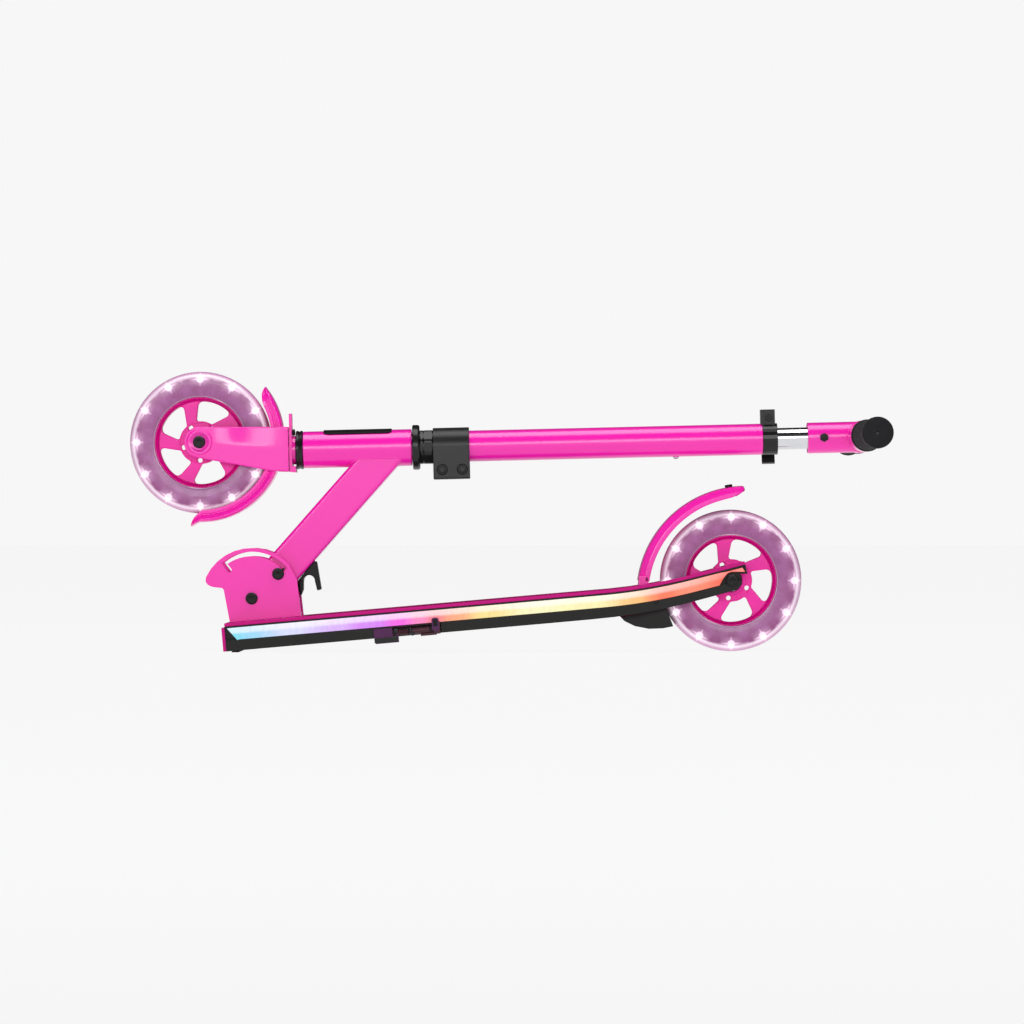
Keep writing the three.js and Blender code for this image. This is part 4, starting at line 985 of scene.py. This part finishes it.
def fork_leg(side):
    """A pressed leg: flat below a line from the axle to the crown, and sloping back above it."""
    us = [FRONT_AXLE[0] - 15.75 * math.cos(math.radians(a)) for a in range(0, 90, 6)]
    us += [FRONT_AXLE[0] + (CROWN - FRONT_AXLE[0]) * k / 60 for k in range(61)]
    outer, inner, across, rounding = 20.9, 16.3, 44, 1.2
    rings = []
    for u in us:
        top, bottom = leg_edges(u)
        rings.append([])
        # the crease falls from beside the boss to the crown, and the slope above it fades in and out at its ends
        along = (u + 298.5) / 71.3
        crease = 8.6 - 6.9 * along
        fade = (math.sin(math.pi / 2 * share(u, -300, -266)) * math.sin(math.pi / 2 * share(-u, 221, 283))) ** 1.5
        for k in range(across + 1):
            v = bottom + (top - bottom) * (0.5 - 0.5 * math.cos(math.pi * k / across))
            slope = (3.7 - 0.5 * along) * (math.sqrt(max(0, v - crease) ** 2 + 4) - 2) / 15
            near_edge = rounding - min(rounding, v - bottom, top - v, max(0.0, u + 326) + 0.2)
            cut = rounding - math.sqrt(max(0, rounding**2 - near_edge**2))
            rings[-1].append((u, side * (outer - fade * slope - cut), v))
        rings[-1] += [(u, side * inner, top), (u, side * inner, bottom)]
    return loft(rings, sharp=50)


def fork():
    u, v = FRONT_AXLE
    parts = []
    dish = [(4.4, 20.2), (13.4, 20.2), (13.2, 21.6), (12.4, 22.5), (11.2, 22.8), (9.8, 22.6), (8.4, 21.9), (7, 21.7),
            (4.4, 21.7), (4.4, 20.2)]
    for _, side in SIDES:
        parts.append(fork_leg(side))
        parts.append(moved(spin(dish, 96, 50), OUTWARD[side], (u, 0, v)))
    crown = cross_plate([fillet(box(-21, -22, 21, 23.6), 2.5)], CROWN - 2, CROWN, 0.5)
    steerer = moved(tube(11.5, 14, -220.5, -30, 0.5, 72), ALONG_X)
    race = moved(tube(11.5, 14.6, -216, -213, 0.3, 72), ALONG_X)
    show("fork_weldment", merged(*parts, crown, steerer, race), "steering", "frame_pink", ["fork"], STEERING)
    axle = outward_pair(lambda: axle_end(24), u, 23.2, v)
    show("front_axle_bolt", axle, "steering", "dark_steel", ["front_axle"], STEERING)


def front_fender():
    """Round the wheel from the crown, with a flared lip below and a pointed beak above. Angles are in degrees."""
    lip, beak, top = -90, 24, 37.8
    stations = []
    for k in range(17):
        s = 1 - k / 16
        stations.append((lip - 7.6 * s, 0.72 * math.sqrt(1 - 0.92 * s**6) + 0.28 * (1 - s) ** 3, 1,
                         8 * max(0, s - 0.28) ** 1.3))
    stations += [(lip + (beak - lip) * k / 60, 1, 1, 0) for k in range(1, 60)]
    for k in range(25):
        s = math.sin(math.pi / 2 * k / 24)
        stations.append((beak + (top - beak) * s, math.sqrt(max(0, 1 - s * s)), math.sqrt(1 - 0.9 * s**3), 0))
    arch = fender((-309.6, 13.5), 85.2, channel(12.5, 13.3, 15.8, FRONT_WALL), stations)
    pad = cross_plate([fillet(box(-8, 4.5, 8, 22.5), 3)], -227.4, -222.1, 0.4)
    show("front_fender_arch", merged(arch, pad), "steering", "frame_pink", ["front_fender"], STEERING)
    dress("fender_bracket", bevel=0.5)
    bolt = merged(bolt_head(3.4, 2.6, 1.6, dome=0.5), rod(2, -3.3, 0.3, 32))
    show("fender_bolt_head", moved(bolt, ALONG_X, (-216.1, 0, 18.2)), "steering", "dark_steel", ["fender_bolt"],
         STEERING)


def stem_clamp():
    """A split clamp: round over the bars, square below them, with two bolts across the split."""
    outer, inner, low, gap = 19.4, 16.2, -33.4, 1.5
    outline = [*square_cornered(arc((0, 0), outer, 0, 180, 48)), (-outer, low, 1.6), (-gap, low, 0.5),
               *square_cornered(arc((0, 0), inner, 264.7, -84.7, 60)), (gap, low, 0.5), (outer, low, 1.6)]
    body = cross_plate([fillet(outline, 0, 5)], -72.5, -35.4, 0.7, 4)
    show("stem_clamp_body", body, "steering", "black_alloy", ["stem_clamp"], STEERING)
    for number, u in ((1, -63.4), (2, -42.9)):
        seat = (u, -14.8, -23.8)
        # a very dark ring round each bolt head: painted shade for the counterbore the head sits in
        ring = moved(tube(4.5, 5.7, 4, 4.8, 0.1, 48), OUTWARD[-1], seat)
        show(f"clamp_bolt_shade_ring_{number}", ring, "steering", "dark_steel", (), STEERING, sheen="badge_black")
        bolt = merged(bolt_head(4.5, 4.9, 2.6), rod(3, -33, 0.2, 32))
        show(f"clamp_bolt_{number}", moved(bolt, OUTWARD[-1], seat), "steering", "dark_steel",
             [f"stem_clamp_bolt_{number}"], STEERING)


def bars():
    """The lower bar with its button, and the inner bar that slides in it."""
    button_u = 175.9
    profile = fillet([(14.4, -72.2), (15.9, -72.2), (15.9, 264.6), (14.2, 264.6), (14.2, 279.6), (11.5, 279.6),
                      (11.5, 256), (14.4, 253)], 0.5, 3)
    lower = moved(lathe(profile), ALONG_X)
    seam = moved(tube(15.7, 16.0, 258.4, 259.6, 0.1, 96), ALONG_X)
    eyelet = moved(tube(2.9, 3.7, 15.3, 16.1, 0.15, 32), FLIP, (button_u, 0, 0))
    show("lower_tube", merged(lower, seam, eyelet), "steering", "frame_pink", ["lower_bar"], STEERING)
    dome = [(2.8 * math.cos(math.radians(a)), -16.4 - 2 * math.sin(math.radians(a))) for a in range(0, 90, 12)]
    button = spin([(0.01, -13.8), (2.8, -13.8), *dome, (0.01, -18.4)], 40)
    show("snap_dome", moved(button, (button_u, 0, 0)), "snap_button", "bare_steel", ["snap_button"], STEERING)
    section = fillet(box(9.6, 92, 11.1, 350), 0.4, 3)
    show("inner_tube", moved(lathe(section), ALONG_X), "handlebar", "chrome_tube", ["inner_bar"], STEERING)


def height_clamp():
    dress("height_clamp", "black_metal", 0.6)
    dress("height_clamp_bolt", bevel=0.25)
    dress("height_clamp_lever", "black_metal", 0.7)


def handlebar():
    """A T-joint whose two tubes meet at u, the crossbar through it, and a grip on each side."""
    u, inner, outer = 367.4, 11.4, 15.8
    stem = moved(lathe(fillet(box(inner, 310.8, outer, u - 2), 0.7, 4)), ALONG_X)
    sleeve = moved(lathe(fillet(box(inner, -52, outer, 52), 0.7, 4)), ALONG_Y, (u, 0, 0))
    show("t_joint_weldment", merged(stem, sleeve), "handlebar", "frame_pink", ["t_joint"], STEERING)
    path = [(u - math.sqrt(max(0, outer**2 - v * v)), y, v) for y, v in circle((0, 0), outer - 0.1, 96)]
    show("t_joint_weld", wire(path, 0.9, True, 0.05), "handlebar", "frame_pink", (), STEERING)

    def half_bolt():
        return merged(rod(2.5, -16, 0.2, 32), bolt_head(4.6, 2.3, dome=0.25, hexed=True))

    bolt = outward_pair(half_bolt, 327, 16, 0, Matrix.Rotation(math.radians(30), 4, "Z"))
    show("t_joint_hex_bolt", bolt, "handlebar", "dark_steel", ["t_joint_bolt"], STEERING)
    dress("crossbar", bevel=0.3)
    for name, side in SIDES:
        grip(name, side, u)


def grip(name, side, u):
    """A ribbed rubber grip with a flange at its inner end and a small hole in its closed end."""
    start, end = 52.3, 167
    ribs = []
    y = start + 9
    while y < end - 12:
        ribs += [(14.5, y), (14.95, y + 0.7), (14.95, y + 2.6), (14.5, y + 3.3)]
        y += 4.4
    profile = [(11.4, start), (15.7, start), (16.3, start + 0.6), (16.3, start + 2.6), (15.6, start + 3.4),
               (14.6, start + 5), *ribs, (14.6, end - 9), (15.7, end - 8), (15.7, end - 1.8), (15.1, end - 0.6),
               (14, end), (2, end), (1.7, end - 0.4), (1.7, 163.3), (11.4, 163.3), (11.4, start)]
    mesh = moved(spin(profile, 96, 30), OUTWARD[side], (u, 0, 0))
    show(f"{name}_grip_sleeve", mesh, "handlebar", "grip_foam", [f"{name}_grip"], STEERING)


deck_pieces()
kickstand()
brake_spring()
rear_brake()
wheel("rear", "rear_wheel", Matrix.Translation((REAR_AXLE[0] * MM, 0, REAR_AXLE[1] * MM)), 85)
front_centre = STEERING @ Vector((FRONT_AXLE[0] * MM, 0, FRONT_AXLE[1] * MM))
wheel("front", "front_wheel", Matrix.Translation(front_centre), 90)
neck()
headset()
lock()
fork()
front_fender()
stem_clamp()
bars()
height_clamp()
handlebar()

# ---------------------------------------------------------------- floor, light and camera

PAPER = srgb(247, 247, 247)


def studio():
    floor = bpy.data.meshes.new("floor")
    ring = circle((0, 0), 40000, 64)
    floor.from_pydata([(x * MM, y * MM, 0) for x, y in ring], [], [tuple(range(64))])
    ground = placed("floor", floor)
    g = Graph(bpy.data.materials.new("pale_floor"))
    g.set("Base Color", g.mix(g.noise(2, 2), srgb(44, 44, 45), srgb(47, 47, 48)))
    g.set("Roughness", 0.9)
    g.set("Specular IOR Level", 0)
    g.set("Emission Color", PAPER)
    g.set("Emission Strength", 0.98)
    floor.materials.append(g.owner)

    # the room is plain white to the camera, and otherwise bright only in front of the scooter and low down
    world = bpy.data.worlds.new("studio")
    bpy.context.scene.world = world
    g = Graph(world, "Background")
    _, y, z = g.node("SeparateXYZ", {"Vector": g.coordinates("Generated")}).outputs
    shade = g.times(g.scaled(z, 0.1, 0.28, 1, 0.12), g.scaled(y, -0.92, -0.74, 1, 0.25))
    g.set("Color", g.mix(g.node("LightPath").outputs["Is Camera Ray"], shade, PAPER))

    for name, spot, aim, size, power in (
        ("top_softbox", (0, -0.2, 2.4), (0, -0.1, 0.1), (2.8, 1.5), 49),
        ("front_strip", (0, -2.8, 0.86), (0, 0, 0.12), (3.4, 0.7), 35),
    ):
        lamp = bpy.data.lights.new(name, "AREA")
        lamp.shape = "RECTANGLE"
        lamp.size, lamp.size_y = size
        lamp.energy = power
        holder = placed(name, lamp)
        holder.location = spot
        holder.rotation_euler = (Vector(aim) - Vector(spot)).to_track_quat("-Z", "Y").to_euler()


def camera():
    lens = bpy.data.cameras.new("camera")
    lens.lens = 133.8
    lens.shift_y = 0.02246
    lens.clip_end = 100
    holder = placed("camera", lens)
    holder.location = (0.0083, -3.9, 0.119)
    holder.rotation_euler = (math.radians(90), 0, 0)
    bpy.context.scene.camera = holder


studio()
camera()
bpy.context.scene.view_settings.view_transform = "Standard"

bpy.context.view_layer.update()
